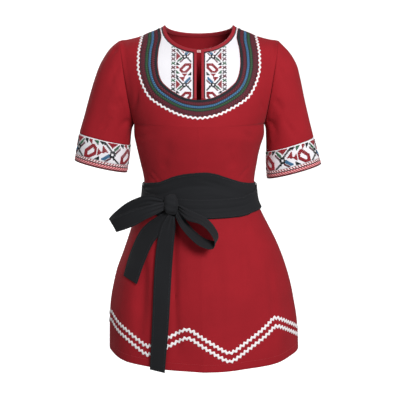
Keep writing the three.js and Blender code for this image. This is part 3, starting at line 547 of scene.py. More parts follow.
def tube(name, sections, finish):
    """A solid through closed sections (stations, points round, 3), with its ends capped."""
    stations, around = sections.shape[:2]
    s, k = (grid.ravel() for grid in np.meshgrid(np.arange(stations - 1), np.arange(around), indexing="ij"))
    spots = [(s, k), (s, k + 1), (s + 1, k + 1), (s + 1, k)]
    faces = np.stack([a * around + b % around for a, b in spots], axis=1).tolist()
    lengths = travelled(sections.mean(1)) * MM
    girth = np.linalg.norm(np.diff(sections[0], axis=0), axis=-1).sum() / around * MM
    corners = [*np.stack([np.stack([lengths[a], b * girth], axis=-1) for a, b in spots], axis=1)]
    for station, cap in ((0, range(around)[::-1]), (stations - 1, range(around))):
        faces.append([station * around + i for i in cap])
        corners.append([(lengths[station], i * girth) for i in cap])
    return make_object(name, sections.reshape(-1, 3), faces, corners, finish)


def place(piece, slot, *nodes):
    """A finished piece rides on the garment's one body and stands for its solids."""
    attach(piece, "root")
    if nodes:
        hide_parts(*nodes)
    return piece


# ---- Materials --------------------------------------------------------------------------------------

def linear(colour):
    """An sRGB hex colour as linear red, green and blue."""
    channels = [int(colour[i:i + 2], 16) / 255 for i in (0, 2, 4)]
    return [c / 12.92 if c <= 0.04045 else ((c + 0.055) / 1.055) ** 2.4 for c in channels]


def node(tree, kind, settings=(), inputs=()):
    """Adds a node with its settings. An input is a value, a socket, or a node for its first output."""
    made = tree.nodes.new(kind)
    for key, value in dict(settings).items():
        setattr(made, key, value)
    for key, value in dict(inputs).items():
        if isinstance(value, bpy.types.Node):
            value = value.outputs[0]
        if isinstance(value, bpy.types.NodeSocket):
            tree.links.new(value, made.inputs[key])
        else:
            made.inputs[key].default_value = value
    return made


# How threads cross, from the angles u and v along and across the cloth, one turn for each thread:
# the name of each step, its operation and what it takes. The last step is the thread's wave.
WEAVES = {
    "plain": [("warp", "SINE", "u"), ("weft", "SINE", "v"), ("wave", "MULTIPLY", "warp", "weft")],
    "twill": [("slant", "ADD", "u", "v"), ("wave", "SINE", "slant")],
    "rib": [("wave", "SINE", "u")],
    "chevron": [("fold", "PINGPONG", "v", math.pi), ("slant", "ADD", "u", "fold"), ("wave", "SINE", "slant")],
    "plait": [("rising", "ADD", "u", "v"), ("left", "SINE", "rising"), ("falling", "SUBTRACT", "u", "v"),
              ("right", "SINE", "falling"), ("wave", "MULTIPLY", "left", "right")],
}


def weave_height(tree, pattern, pitch):
    """How high the threads stand, from 0 to 1: one of the weaves, or a crepe's crinkle."""
    if pattern == "crepe":
        return node(tree, "ShaderNodeTexNoise", inputs={
            "Vector": node(tree, "ShaderNodeTexCoord").outputs["Object"], "Scale": 1 / (pitch * MM),
            "Detail": 2.0, "Roughness": 0.6})
    places = node(tree, "ShaderNodeUVMap", {"uv_map": "cloth"})
    scaled = node(tree, "ShaderNodeVectorMath", {"operation": "SCALE"}, {
        0: places, "Scale": TURN / (pitch * MM)})
    split = node(tree, "ShaderNodeSeparateXYZ", inputs={0: scaled})
    steps = {"u": split.outputs[0], "v": split.outputs[1]}
    for made, operation, *takes in WEAVES[pattern]:
        steps[made] = node(tree, "ShaderNodeMath", {"operation": operation},
                           {i: steps.get(taken, taken) for i, taken in enumerate(takes)})
    return node(tree, "ShaderNodeMath", {"operation": "MULTIPLY_ADD"}, {0: steps["wave"], 1: 0.5, 2: 0.5})


def new_material(name):
    material = bpy.data.materials.new(name)
    material.use_nodes = True
    return material, material.node_tree


def dress(tree, colour, height, strength, depth, **values):
    """Joins a colour and raised threads to the shader and sets its other values."""
    shader = tree.nodes["Principled BSDF"]
    bump = node(tree, "ShaderNodeBump", inputs={
        "Height": height, "Strength": strength, "Distance": depth * MM})
    tree.links.new(colour, shader.inputs["Base Color"])
    tree.links.new(bump.outputs[0], shader.inputs["Normal"])
    for name, value in values.items():
        shader.inputs[name.replace("_", " ")].default_value = value


def cloth_material(name, colour, pattern, pitch, depth, roughness, sheen, shade=0.12, wear=0.06):
    """Thread colour with painted shade between threads and painted light on their crests, which drifts softly
    over the piece, with a raised weave.
    """
    material, tree = new_material(name)
    height = weave_height(tree, pattern, pitch)
    drift = node(tree, "ShaderNodeTexNoise", inputs={
        "Vector": node(tree, "ShaderNodeTexCoord").outputs["Object"], "Scale": 14.0, "Detail": 3.0})
    drifting = node(tree, "ShaderNodeMapRange", inputs={
        "Value": drift, "From Min": 0.3, "From Max": 0.7, "To Min": 1 - wear, "To Max": 1 + wear})
    # Painted shade and light: the colour darkens where the weave sinks and lightens on its crests, by the
    # share shade.
    threads = node(tree, "ShaderNodeMapRange", inputs={
        "Value": height, "To Min": 1 - shade, "To Max": 1 + shade / 2})
    strength = node(tree, "ShaderNodeMath", {"operation": "MULTIPLY"}, {0: drifting, 1: threads})
    base = node(tree, "ShaderNodeVectorMath", {"operation": "SCALE"}, {0: tuple(colour), "Scale": strength})
    dress(tree, base.outputs[0], height, 0.7, depth, Roughness=roughness, Specular_IOR_Level=0.2, IOR=1.5,
          Sheen_Weight=sheen, Sheen_Roughness=0.5)
    return material


def striped_material(name, stripes, twist, pitch, width):
    """Braids side by side, each plaited from two threads: (share of the width, thread, other thread)."""
    material, tree = new_material(name)
    places = node(tree, "ShaderNodeUVMap", {"uv_map": "cloth"})
    across = node(tree, "ShaderNodeSeparateXYZ", inputs={0: places}).outputs[1]
    share = node(tree, "ShaderNodeMath", {"operation": "DIVIDE"}, {0: across, 1: width * MM})
    ramps = []
    for which in (1, 2):
        ramp = node(tree, "ShaderNodeValToRGB", inputs={0: share})
        ramp.color_ramp.interpolation = "CONSTANT"
        for i, stripe in enumerate(stripes):
            stop = ramp.color_ramp.elements[0] if i == 0 else ramp.color_ramp.elements.new(stripe[0])
            stop.position = stripe[0]
            stop.color = (*linear(stripe[which]), 1)
        ramp.color_ramp.elements.remove(ramp.color_ramp.elements[-1])
        ramps.append(ramp)
    height = weave_height(tree, twist, pitch)
    pick = node(tree, "ShaderNodeMapRange", inputs={"Value": height, "From Min": 0.42, "From Max": 0.58})
    colour = node(tree, "ShaderNodeMix", {"data_type": "RGBA"}, {0: pick, 6: ramps[1], 7: ramps[0]})
    dress(tree, colour.outputs[2], height, 0.8, 0.3, Roughness=0.7, Specular_IOR_Level=0.35,
          Sheen_Weight=0.2)
    return material


# Stranded cotton for the crosses: name and sRGB colour, in the order of their numbers in the chart.
THREADS = {"red": "9E1C2A", "maroon": "62182A", "black": "16171B", "green": "326B4B", "blue": "44779F"}
LETTERS = {"r": 0, "m": 1, "k": 2, "g": 3, "b": 4}


@lru_cache
def materials():
    """Every finish of the garment by name. Weaves too fine to show at this size are drawn up to 4 times
    as coarse as the real threads, which are 0.3 to 0.5 mm apart."""
    colours = bpy.context.scene.tunic_colours
    pitch = bpy.context.scene.tunic_sizes.weave / MM
    thread = dict(pattern="rib", pitch=1.4, depth=0.1, roughness=0.6, sheen=0.2, shade=0.18, wear=0.08)
    # The braids' shade of 0.8 paints near-black shade between the strands and a painted highlight on their
    # crests.
    braid = dict(pattern="chevron", pitch=5.2, depth=0.3, roughness=0.7, sheen=0.05, shade=0.8, wear=0.05)
    return {
        # Plain-woven suiting: an even matt red with a faint grain and a soft bloom where it turns away.
        "red": cloth_material("red plain-woven suiting", colours.red, "plain", pitch, 0.22, 0.85, 0.03),
        # Satin-faced bias tape: slanting ribs and a slightly smoother light than the cloth.
        "binding": cloth_material("red satin bias tape", colours.binding, "twill", 1.2, 0.1, 0.5, 0.1),
        # Even-weave cotton: a clean matt white with an open square grain under the stitches.
        "linen": cloth_material("white even-weave cotton", colours.white, "plain", 1.9, 0.18, 0.85, 0.1,
                                0.1, 0.02),
        # Twisted rayon cord: near black with a low gleam along its strands.
        "cord": cloth_material("black twisted rayon cord", colours.cord, "rib", 1.6, 0.2, 0.5, 0.15, 0.3),
        # Flat plaited braids: a herringbone of fine strands in one colour each, with painted shade, near
        # black, between the strands and painted light on their crests.
        **{name: cloth_material(f"{name} plaited braid", getattr(colours, name), **braid)
           for name in ("maroon", "blue", "green")},
        # Cotton ricrac: chalky white, plaited on the slant so that it looks like a soft rope.
        "ricrac": cloth_material("white plaited cotton ricrac", colours.ricrac, "plait", 2.8, 0.3, 0.8, 0.15,
                                 0.07, 0.01),
        # Crepe: a dry charcoal black whose fine crinkle scatters the light.
        "sash": cloth_material("charcoal crepe", colours.sash, "crepe", 0.9, 0.16, 0.85, 0.05, 0.1, 0.08),
        # Stranded cotton: matt with a slight silkiness, so each cross catches the light a little.
        **{f"thread {name}": cloth_material(f"{name} stranded cotton", linear(code), **thread)
           for name, code in THREADS.items()},
        "thread pink": cloth_material("pale pink twisted thread", linear("E3B4B4"), **thread),
        # Sewing thread, a shade lighter than its cloth.
        "sewing red": cloth_material("red sewing thread", linear("B5323A"), **thread),
        "sewing black": cloth_material("black sewing thread", linear("34353A"), **thread),
        # Narrow braids at the cuff: a pale chevron, a black line, a pink rope and a dark red edge.
        "cuff": striped_material("pink and red plaited cuff braid", [
            (0.0, "F8E6E6", "8E2634"), (0.27, "16161C", "221219"), (0.4, "F2A4A6", "A83844"),
            (0.79, "6A1822", "3C0E15")], "twill", 7.0, 17.0),
    }


# ---- Geometry Nodes for what repeats ----------------------------------------------------------------

def new_tree(name, inputs):
    tree = bpy.data.node_groups.new(name, "GeometryNodeTree")
    tree.interface.new_socket("Geometry", in_out="INPUT", socket_type="NodeSocketGeometry")
    for label, kind, default in inputs:
        socket = tree.interface.new_socket(label, in_out="INPUT", socket_type=kind)
        if default is not None:
            socket.default_value = default
    tree.interface.new_socket("Geometry", in_out="OUTPUT", socket_type="NodeSocketGeometry")
    return tree, node(tree, "NodeGroupInput").outputs


@lru_cache
def stitch_tree():
    """Running stitches along lines: small flattened ovals, one for each stitch."""
    tree, given = new_tree("running stitches", [
        ("Pitch", "NodeSocketFloat", 0.003), ("Length", "NodeSocketFloat", 0.002),
        ("Thickness", "NodeSocketFloat", 0.0005), ("Thread", "NodeSocketMaterial", None)])
    curve = node(tree, "GeometryNodeMeshToCurve", inputs={0: given["Geometry"]})
    spots = node(tree, "GeometryNodeCurveToPoints", {"mode": "LENGTH"}, {
        "Curve": curve, "Length": given["Pitch"]})
    turn = node(tree, "FunctionNodeAlignRotationToVector", {"axis": "X"}, {
        "Vector": spots.outputs["Tangent"]})
    oval = node(tree, "GeometryNodeMeshUVSphere", inputs={"Segments": 6, "Rings": 4, "Radius": 0.5})
    size = node(tree, "ShaderNodeCombineXYZ", inputs={
        0: given["Length"], 1: given["Thickness"], 2: given["Thickness"]})
    copies = node(tree, "GeometryNodeInstanceOnPoints", inputs={
        "Points": spots, "Instance": oval, "Rotation": turn, "Scale": size})
    real = node(tree, "GeometryNodeRealizeInstances", inputs={0: copies})
    done = node(tree, "GeometryNodeSetMaterial", inputs={"Geometry": real, "Material": given["Thread"]})
    node(tree, "NodeGroupOutput", inputs={0: done})
    return tree


THREAD_WIDTH = 0.34  # of a cell


@lru_cache
def cross_stitch_tree():
    """A cross of two padded threads on every point, turned and sized by the point's own values."""
    tree, given = new_tree("cross-stitches", [
        ("Thread Width", "NodeSocketFloat", THREAD_WIDTH),
        *[(f"Thread {name}", "NodeSocketMaterial", None) for name in THREADS]])
    bar = node(tree, "GeometryNodeMeshCylinder", inputs={
        "Vertices": 5, "Radius": given["Thread Width"], "Depth": 1.25})
    lying = node(tree, "GeometryNodeTransform", inputs={
        "Geometry": bar, "Rotation": (0, math.radians(90), 0)})
    cross = node(tree, "GeometryNodeJoinGeometry")
    for angle, lift in ((45, 0.02), (-45, 0.14)):
        turned = node(tree, "GeometryNodeTransform", inputs={
            "Geometry": lying, "Rotation": (0, 0, math.radians(angle)), "Translation": (0, 0, lift),
            "Scale": (1, 1, 0.5)})
        tree.links.new(turned.outputs[0], cross.inputs[0])
    turn, size, thread = (
        node(tree, "GeometryNodeInputNamedAttribute", {"data_type": kind}, {"Name": name})
        for kind, name in (("FLOAT_VECTOR", "turn"), ("FLOAT_VECTOR", "cell"), ("INT", "thread")))
    rotation = node(tree, "FunctionNodeEulerToRotation", inputs={0: turn})
    everything = node(tree, "GeometryNodeJoinGeometry")
    for number, name in enumerate(THREADS):
        chosen = node(tree, "FunctionNodeCompare", {"data_type": "INT", "operation": "EQUAL"}, {
            2: thread, 3: number})
        copies = node(tree, "GeometryNodeInstanceOnPoints", inputs={
            "Points": given["Geometry"], "Selection": chosen, "Instance": cross, "Rotation": rotation,
            "Scale": size})
        real = node(tree, "GeometryNodeRealizeInstances", inputs={0: copies})
        done = node(tree, "GeometryNodeSetMaterial", inputs={
            "Geometry": real, "Material": given[f"Thread {name}"]})
        tree.links.new(done.outputs[0], everything.inputs[0])
    node(tree, "NodeGroupOutput", inputs={0: everything})
    return tree


def grow(name, base, tree, values):
    """Runs a tree on a mesh and returns its result as a plain mesh object."""
    carrier = bpy.data.objects.new(name, base)
    bpy.context.scene.collection.objects.link(carrier)
    modifier = carrier.modifiers.new("grow", "NODES")
    modifier.node_group = tree
    for item in tree.interface.items_tree:
        if item.item_type == "SOCKET" and item.in_out == "INPUT" and item.name in values:
            modifier[item.identifier] = values[item.name]
    depsgraph = bpy.context.evaluated_depsgraph_get()
    mesh = bpy.data.meshes.new_from_object(
        carrier.evaluated_get(depsgraph), preserve_all_data_layers=True, depsgraph=depsgraph)
    carrier.modifiers.clear()
    carrier.data = mesh
    mesh.name = name
    mesh.polygons.foreach_set("use_smooth", [True] * len(mesh.polygons))
    if "cloth" not in mesh.uv_layers:
        spots = np.empty(len(mesh.vertices) * 3, np.float32)
        mesh.vertices.foreach_get("co", spots)
        corners = np.empty(len(mesh.loops), np.int32)
        mesh.loops.foreach_get("vertex_index", corners)
        layer = mesh.uv_layers.new(name="cloth")
        layer.data.foreach_set("uv", spots.reshape(-1, 3)[corners][:, [0, 2]].ravel())
    return carrier


def stitch_lines(name, lines, thread, slot, pitch=3.0, length=2.1, thickness=0.55):
    """Running stitches along lines of points."""
    vertices, edges = [], []
    for line in lines:
        first = len(vertices)
        vertices += (np.asarray(line) * MM).tolist()
        edges += [(first + i, first + i + 1) for i in range(len(line) - 1)]
    base = bpy.data.meshes.new(name)
    base.from_pydata(vertices, edges, [])
    piece = grow(name, base, stitch_tree(), {
        "Pitch": pitch * MM, "Length": length * MM, "Thickness": thickness * MM,
        "Thread": materials()[thread]})
    return place(piece, slot)


def cross_stitches(name, spots, slot):
    """Crosses at (point, tangent, normal, cell width, cell height, thread number)."""
    base = bpy.data.meshes.new(name)
    base.from_pydata([(np.asarray(spot[0]) * MM).tolist() for spot in spots], [], [])
    turns, cells = [], []
    for _, tangent, normal, width, height, _ in spots:
        side = unit(np.cross(normal, tangent))
        turns += list(Matrix([np.cross(side, normal), side, normal]).transposed().to_euler())
        cells += [width * MM, height * MM, (width + height) / 2 * MM]
    base.attributes.new("turn", "FLOAT_VECTOR", "POINT").data.foreach_set("vector", turns)
    base.attributes.new("cell", "FLOAT_VECTOR", "POINT").data.foreach_set("vector", cells)
    base.attributes.new("thread", "INT", "POINT").data.foreach_set("value", [spot[5] for spot in spots])
    piece = grow(name, base, cross_stitch_tree(), {
        "Thread Width": THREAD_WIDTH,
        **{f"Thread {thread}": materials()[f"thread {thread}"] for thread in THREADS}})
    return place(piece, slot)


# ---- Sleeves ----------------------------------------------------------------------------------------

TILT = unit([SHOULDER[0] - UNDERARM[0], SHOULDER[1] - UNDERARM[1]])
RING_NAMES = ["ring", "outer_x", "outer_z", "inner_x", "inner_z", "front", "back"]
CUFF = {"top": 8, "braid": 9.4, "edge": 10, "seam": 0.012}
ARMHOLE = (0, SHOULDER[0] + SEAM * TILT[1], SHOULDER[1] - SEAM * TILT[0],
           UNDERARM[0] + SEAM * TILT[1], UNDERARM[1] - SEAM * TILT[0], 55, 50)
SLEEVES = {
    "left": (-1, Table(RING_NAMES, [
        ARMHOLE, (1, 200, -44.5, 160, -241, 57, 54), (2, 212.6, -56, 162, -247, 58, 57),
        (3, 225, -73, 163, -253, 58, 59), (4, 238, -96, 164, -260, 57, 60),
        (5, 250, -127, 164.8, -267, 56, 60), (6, 263, -168, 165.5, -275, 54, 59),
        (7, 276, -213, 166, -281, 51, 57), (8, 289, -256, 166, -285, 49, 55),
        (9, 296.5, -293, 170, -322, 48, 54), (10, 302, -322, 175.5, -352, 47, 53)])),
    "right": (1, Table(RING_NAMES, [
        ARMHOLE, (1, 199, -46.5, 160.3, -241, 57, 54), (2, 211, -58.5, 161.5, -248, 58, 57),
        (3, 223, -74, 162, -256, 58, 59), (4, 235, -97, 162.4, -266, 57, 60),
        (5, 243.5, -129, 162.8, -276, 56, 60), (6, 253, -171, 163, -285, 54, 59),
        (7, 265, -219, 163, -293, 51, 57), (8, 277.7, -266, 163, -301, 49, 55),
        (9, 288.5, -303, 163.5, -337, 48, 54), (10, 297, -331, 166, -367, 47, 53)])),
}
# Soft folds of the form: angle round from the outer point over the front, half-width, depth, rings.
SLEEVE_FOLDS = [(128, 16, 4, 1, 8), (70, 16, 2.5, 2, 9), (222, 17, 4, 1, 8), (290, 16, 3, 2, 9)]
# Creases on it: half-width, depth, then angle and ring of the places they pass through.
SLEEVE_CREASES = [
    (7, 3.6, (150, 0.6), (138, 3), (120, 6)), (6, 3.0, (168, 1.0), (160, 3.4), (150, 6.6)),
    (8, 3.2, (110, 0.5), (104, 2.4), (98, 4.6)), (7, 2.4, (62, 0.4), (66, 1.8), (72, 3.6)),
    (6, 2.0, (28, 0.4), (34, 1.4), (44, 2.8)), (7, 3.4, (205, 0.8), (214, 3.2), (230, 6)),
    (7, 2.8, (250, 0.6), (254, 2.6), (258, 5)), (6, 2.2, (330, 0.4), (322, 1.6), (312, 3)),
    (8, 2.8, (95, 5.4), (84, 6.8), (70, 7.9)), (8, 2.6, (262, 5.2), (274, 6.6), (288, 7.9)),
]


def sleeve_point(sleeve, psi, ring, inward=0.0):
    """A point of a sleeve; psi turns from its outer edge over the front, and rings run down it."""
    side, rings = sleeve
    psi, ring = np.broadcast_arrays(np.asarray(psi, float), np.asarray(ring, float))
    outer = np.stack([rings("outer_x", ring), rings("outer_z", ring)], -1)
    inner = np.stack([rings("inner_x", ring), rings("inner_z", ring)], -1)
    turn = np.mod(psi, TURN)
    less = np.full(psi.shape, float(inward))
    for angle, spread, depth, start, end in SLEEVE_FOLDS:
        along = np.clip((ring - start) / (end - start), 0, 1)
        across = (turn - math.radians(angle)) / math.radians(spread)
        less = less + depth * np.sin(math.pi * along) * np.exp(-across * across)
    half = np.linalg.norm(outer - inner, axis=-1) / 2
    flat = (outer + inner) / 2 + unit(outer - inner) * ((half - less) * np.cos(turn))[..., None]
    depth = np.where(np.sin(turn) >= 0, rings("front", ring), rings("back", ring)) - less
    return np.stack([side * flat[..., 0], -depth * np.sin(turn), flat[..., 1]], -1)


def sleeve_form(side, start, end, rows, columns=104):
    """Points and normals all round a sleeve between two of its rings."""
    sleeve = SLEEVES[side]
    psi = np.linspace(0, TURN, columns, endpoint=False)[None, :]
    ring = np.linspace(start, end, rows + 1)[:, None]
    points = sleeve_point(sleeve, psi, ring)
    normals = unit(points - sleeve_point(sleeve, psi, ring, CLOTH))
    return points, normals


# ---- Yoke, bib and neck -----------------------------------------------------------------------------

YOKE_HALF = [
    (0, 0, -172, 0, -213), (0.1, 27, -169, 38, -207), (0.2, 43, -163, 66, -196), (0.3, 62, -152, 92, -182),
    (0.4, 76, -141, 113, -167), (0.5, 86, -130, 127.5, -144), (0.6, 93, -110, 136, -121),
    (0.7, 95.5, -87, 140.5, -98), (0.8, 94, -60, 140.5, -73), (0.9, 88.5, -30, 138, -47),
    (1, 92.5, -8.5, 134.5, -25.5),
]
YOKE = Table(["way", "inner_x", "inner_z", "outer_x", "outer_z"],
             YOKE_HALF + [(-way, -ix, iz, -ox, oz) for way, ix, iz, ox, oz in YOKE_HALF[1:]])
# Braids side by side: piece, its solid, slot, finish, from and to across the yoke.
YOKE_BRAIDS = [
    ("braid_inner", "yoke_braid_inner", "maroon_braid", "maroon", 0.148, 0.305),
    ("braid_blue", "yoke_braid_blue", "blue_braid", "blue", 0.345, 0.468),
    ("braid_green", "yoke_braid_green", "green_braid", "green", 0.505, 0.625),
    ("braid_outer", "yoke_braid_outer", "maroon_braid", "maroon", 0.66, 0.88),
]
# Cords between them: piece, place across the yoke, step, radius, plies, pitch, points round, its solid.
YOKE_CORDS = [
    ("inner", 0.052, 1.1, 1.7, 3, 7.0, 10, "yoke_cord"), ("second", 0.118, 1.1, 1.3, 3, 7.0, 10),
    ("blue_inner", 0.328, 1.4, 0.72, 2, 4.0, 8), ("blue_outer", 0.487, 1.4, 0.72, 2, 4.0, 8),
    ("green_outer", 0.643, 1.4, 0.72, 2, 4.0, 8), ("edge", 0.895, 1.4, 0.72, 2, 4.0, 8),
]
YOKE_WAYS = 151
RICRAC_STEPS = 12  # points to a wave of ricrac
YOKE_SWING, HEM_SWING = 1.5, 2.1  # how far the ricrac swings to each side


def yoke_place(way, share):
    """A place in the front view: way runs along the yoke from -1 to 1 and share across it."""
    return (mix(YOKE("inner_x", way), YOKE("outer_x", way), share),
            mix(YOKE("inner_z", way), YOKE("outer_z", way), share))


def lay_front(places):
    """Points and normals of the front under a grid of places in the front view."""
    laid = [[from_front(surface_of("front"), x, z) for x, z in row] for row in places]
    return np.moveaxis(np.array(laid), -2, 0)


def lay_strip(name, places, thickness, finish, crown=0.45):
    """A flat strip sewn on the front, from rows of places across it; its middle stands highest."""
    points, normals = lay_front(places)
    share = np.linspace(-1, 1, len(places))[:, None]
    height = thickness * (1 - crown * share**2)
    return shell(name, points + normals * (LIFT + height)[..., None], normals, height, finish)


def yoke_line(share):
    return np.stack(yoke_place(np.linspace(-1, 1, YOKE_WAYS), share), -1)


SIDES = {"left": -1, "right": 1}
PLY_RIDGE = 0.14  # of a cord's radius


def lay_cord(name, line, radius, plies, pitch, around, flat=0.75):
    """A twisted cord that lies along points with normals; its plies show as low ridges."""
    centres, normals = line
    along = unit(np.gradient(centres, axis=0))
    sides = np.cross(along, normals)
    theta = np.linspace(0, TURN, around, endpoint=False)[None, :]
    twist = TURN * travelled(centres)[:, None] / pitch
    r = radius * (1 + PLY_RIDGE * np.cos(plies * theta - twist))
    middle = centres + normals * (LIFT + radius * flat)
    sections = (middle[:, None] + sides[:, None] * (r * np.cos(theta))[..., None]
                + normals[:, None] * (r * flat * np.sin(theta))[..., None])
    return tube(name, sections, "cord")


def evenly(points, normals, step, closed=False):
    """A line of points with normals, made again with its points about a step apart."""
    length = travelled(points)
    even = np.linspace(0, length[-1], int(length[-1] / step), endpoint=not closed)
    points, normals = (np.stack([np.interp(even, length, column) for column in grid.T], -1)
                       for grid in (points, normals))
    return points, unit(normals)


def fine_line(places, step):
    """Points and normals of the front under a line of places, evenly a step apart."""
    points, normals = lay_front([places])
    return evenly(points[0], normals[0], step)


BIB = {"gap": 1.0, "neck_gap": 1.6, "cloth": 0.6}


def bib_edges(t):
    """A place on the bib's inner edge, along the slit and the neck, and the one on its outer edge."""
    slit_x = SLIT["half"] + SLIT["binding"] + BIB["gap"]
    edge_x = NECK_X + BINDING_WIDTH + BIB["neck_gap"]
    edge_z = PANELS["front"]["centre"][1] - BIB["neck_gap"]
    corner = math.asin(slit_x / edge_x)
    if t <= 0.5:
        inner = (slit_x, mix(SLIT["bottom"] + 4, edge_z * math.cos(corner), t * 2))
    else:
        turn = mix(corner, math.pi / 2, (t - 0.5) * 2)
        inner = (edge_x * math.sin(turn), min(edge_z * math.cos(turn), float(SHOULDER_LINE("z", edge_x)) - 3))
    outer = yoke_place(mix(2 / 34, 1, t), 0)
    return inner, outer


# One repeat of the embroidery, for the half of the bib on the viewer's left: r red, m maroon, k black,
# g green, b blue. A rosette with four arms, a hooked lozenge and small arrows between them.
CHART = [
    "kk..rrrrrr.....bb.", "kkk..rrrrr....bbb.", ".kk...rrr....bbbb.", "..kk...rr...bbbb.m",
    "r..kk...r..bbbb.mm", "rr..kk....bbbb.mm.", "rrr..kk...kbb.mm..", "rrrr..kkkkkkkmm...",
    "rrrrr..kk..kk.....", "rrrr...kk..kk.....", "rrr..ggkkkkkkkk...", "rr..ggg.kkk..kk...",
    "r..ggg.mm.....kk..", "..ggg.mm.......kk.", ".gg..mm.........kk", "....mm...........k",
    "kk................", "kkk.......rrrrrrrr", "kkkk.....rrrrrrrrr", "........rrrrrrrrrr",
    "rr.....rrrr....rrr", "rrr...rrrr.....rrr", "rrrr.rrrr.....rrrr", "....rrrr.....rrrr.",
    "....rrr.....rrrr..", "g...rrrr...rrrr...", "gg...rrrrrrrrr....", "ggg...rrrrrrr....k",
    "gggg............kk", ".......rrrrrr..kkk", "k.......rrrr..kkkk", "kk.......rr.......",
    "kkk......r........",
]
ARROW = ["xx.xx", ".xxx.", "xxxx.", "x..xx", "....."]
ARROW_THREADS = "mkmg"
# Size of a cell, left sides of the chart and its border, the top, rows kept, distance from the bib's edge.
STITCH = {"cell": 1.93, "column": -52.0, "border": -63.2, "top": -58.5, "rows": (-30, 66), "near": 0.8}


def inside(place_xz, outline):
    """Whether a place in the front view lies within an outline."""
    x, z = place_xz
    odd = False
    for (ax, az), (bx, bz) in zip(outline, outline[1:] + outline[:1]):
        if (az > z) != (bz > z) and x < ax + (z - az) * (bx - ax) / (bz - az):
            odd = not odd
    return odd


def bib_chart():
    """Places in the front view and thread numbers for the half on the viewer's left."""
    inner, outer = zip(*(bib_edges(t) for t in np.linspace(0, 1, 60)))
    outline = [(-x, z) for x, z in inner + outer[::-1]]
    cell, near, spots = STITCH["cell"], STITCH["near"], []
    for row in range(*STITCH["rows"]):
        thread = ARROW_THREADS[row // len(ARROW) % len(ARROW_THREADS)]
        arrow = ARROW[row % len(ARROW)].replace("x", thread)
        for start, letters in ((STITCH["column"], CHART[row % len(CHART)]), (STITCH["border"], arrow)):
            spots += [(start + (column + 0.5) * cell, STITCH["top"] - row * cell, LETTERS[letter])
                      for column, letter in enumerate(letters) if letter != "."]
    return [(x, z, thread) for x, z, thread in spots
            if all(inside((x + dx, z + dz), outline) for dx in (-near, near) for dz in (-near, near))]


# ---- Ricrac -----------------------------------------------------------------------------------------

# Turning points of the zigzag above the hem: angle from centre front and height.
ZIGZAG = [(-90, 86), (-78, 101), (-51, 78), (-35, 46), (-9, 103), (15, 40), (48, 112), (93, 38), (131, 98),
          (163, 42), (199, 98), (235, 42)]
ZIGZAG_ROUNDING = math.radians(3)
ROW_GAP = 20.0
HEM_PLACES = 1500  # places found on the cloth for each row round the hem


def zigzag_height(phi):
    """Height of the upper row above the hem, with its corners rounded a little."""
    keys = np.array([math.radians(angle + 90) for angle, _ in ZIGZAG] + [TURN])
    heights = np.array([height for _, height in ZIGZAG] + [ZIGZAG[0][1]])

    def straight(angle):
        return np.interp(np.mod(angle + math.pi / 2, TURN), keys, heights)

    return (straight(phi - ZIGZAG_ROUNDING) + 2 * straight(phi) + straight(phi + ZIGZAG_ROUNDING)) / 4


def hem_line(phi):
    return HEM_Z - HEM_DIP["front" if math.cos(phi) >= 0 else "back"] * abs(math.cos(phi))


def on_body(phi, z):
    """The point and normal of the dressed body at an angle and a height."""
    point = body_point(phi, z)
    normal = body_normal(phi, z)
    start, reach = BODY_RAY
    return surface_of("front", "back").lay(point + normal * start, -normal, reach)


def ricrac(name, points, normals, closed, wave, swing, half):
    """A plaited braid along evenly spaced points; its middle line swings from side to side."""
    if closed:
        along = unit(np.roll(points, -1, axis=0) - np.roll(points, 1, axis=0))
        *length, total = travelled(np.concatenate([points, points[:1]]))
        waves = round(total / wave)
    else:
        along = unit(np.gradient(points, axis=0))
        length = travelled(points)
        total = length[-1]
        waves = round(total / wave * 2) / 2
    sides = np.cross(normals, along)
    offset = swing * np.sin(TURN * waves * np.array(length) / total)
    share = np.linspace(-1, 1, 7)
    reach = offset[:, None] + half * share[None, :]
    height = TRIM * (1 - 0.55 * share**2)[None, :] + 0 * reach
    grid = points[:, None] + sides[:, None] * reach[..., None] + normals[:, None] * (LIFT + height)[..., None]
    grid, height = np.swapaxes(grid, 0, 1), height.T
    up = np.broadcast_to(normals[None], grid.shape)
    return shell(name, grid, up, height, "ricrac", ends=("cut",) * 4, closed=closed)


# ---- Sash and bow -----------------------------------------------------------------------------------

SASH = Table(["angle", "top", "bottom"], [
    (-180, -380, -440), (-90, -376, -439), (-60, -371, -441), (-44, -366, -444), (-33, -357, -446),
    (-23, -348.5, -447), (-10, -342, -448.5), (5.6, -339, -449), (16, -343, -449), (24.7, -350, -448.5),
    (36, -359, -448), (47.6, -366.5, -446), (60, -371, -441.5), (90, -376, -440), (180, -380, -440),
])
SASH_GAP, SASH_CLOTH = 1.2, 2.0
TIE = {"cloth": 1.5, "gap": SASH_GAP + SASH_CLOTH + 0.9, "above": 1.5, "width": 44, "full": 60}
SASH_SEAM = 89.85
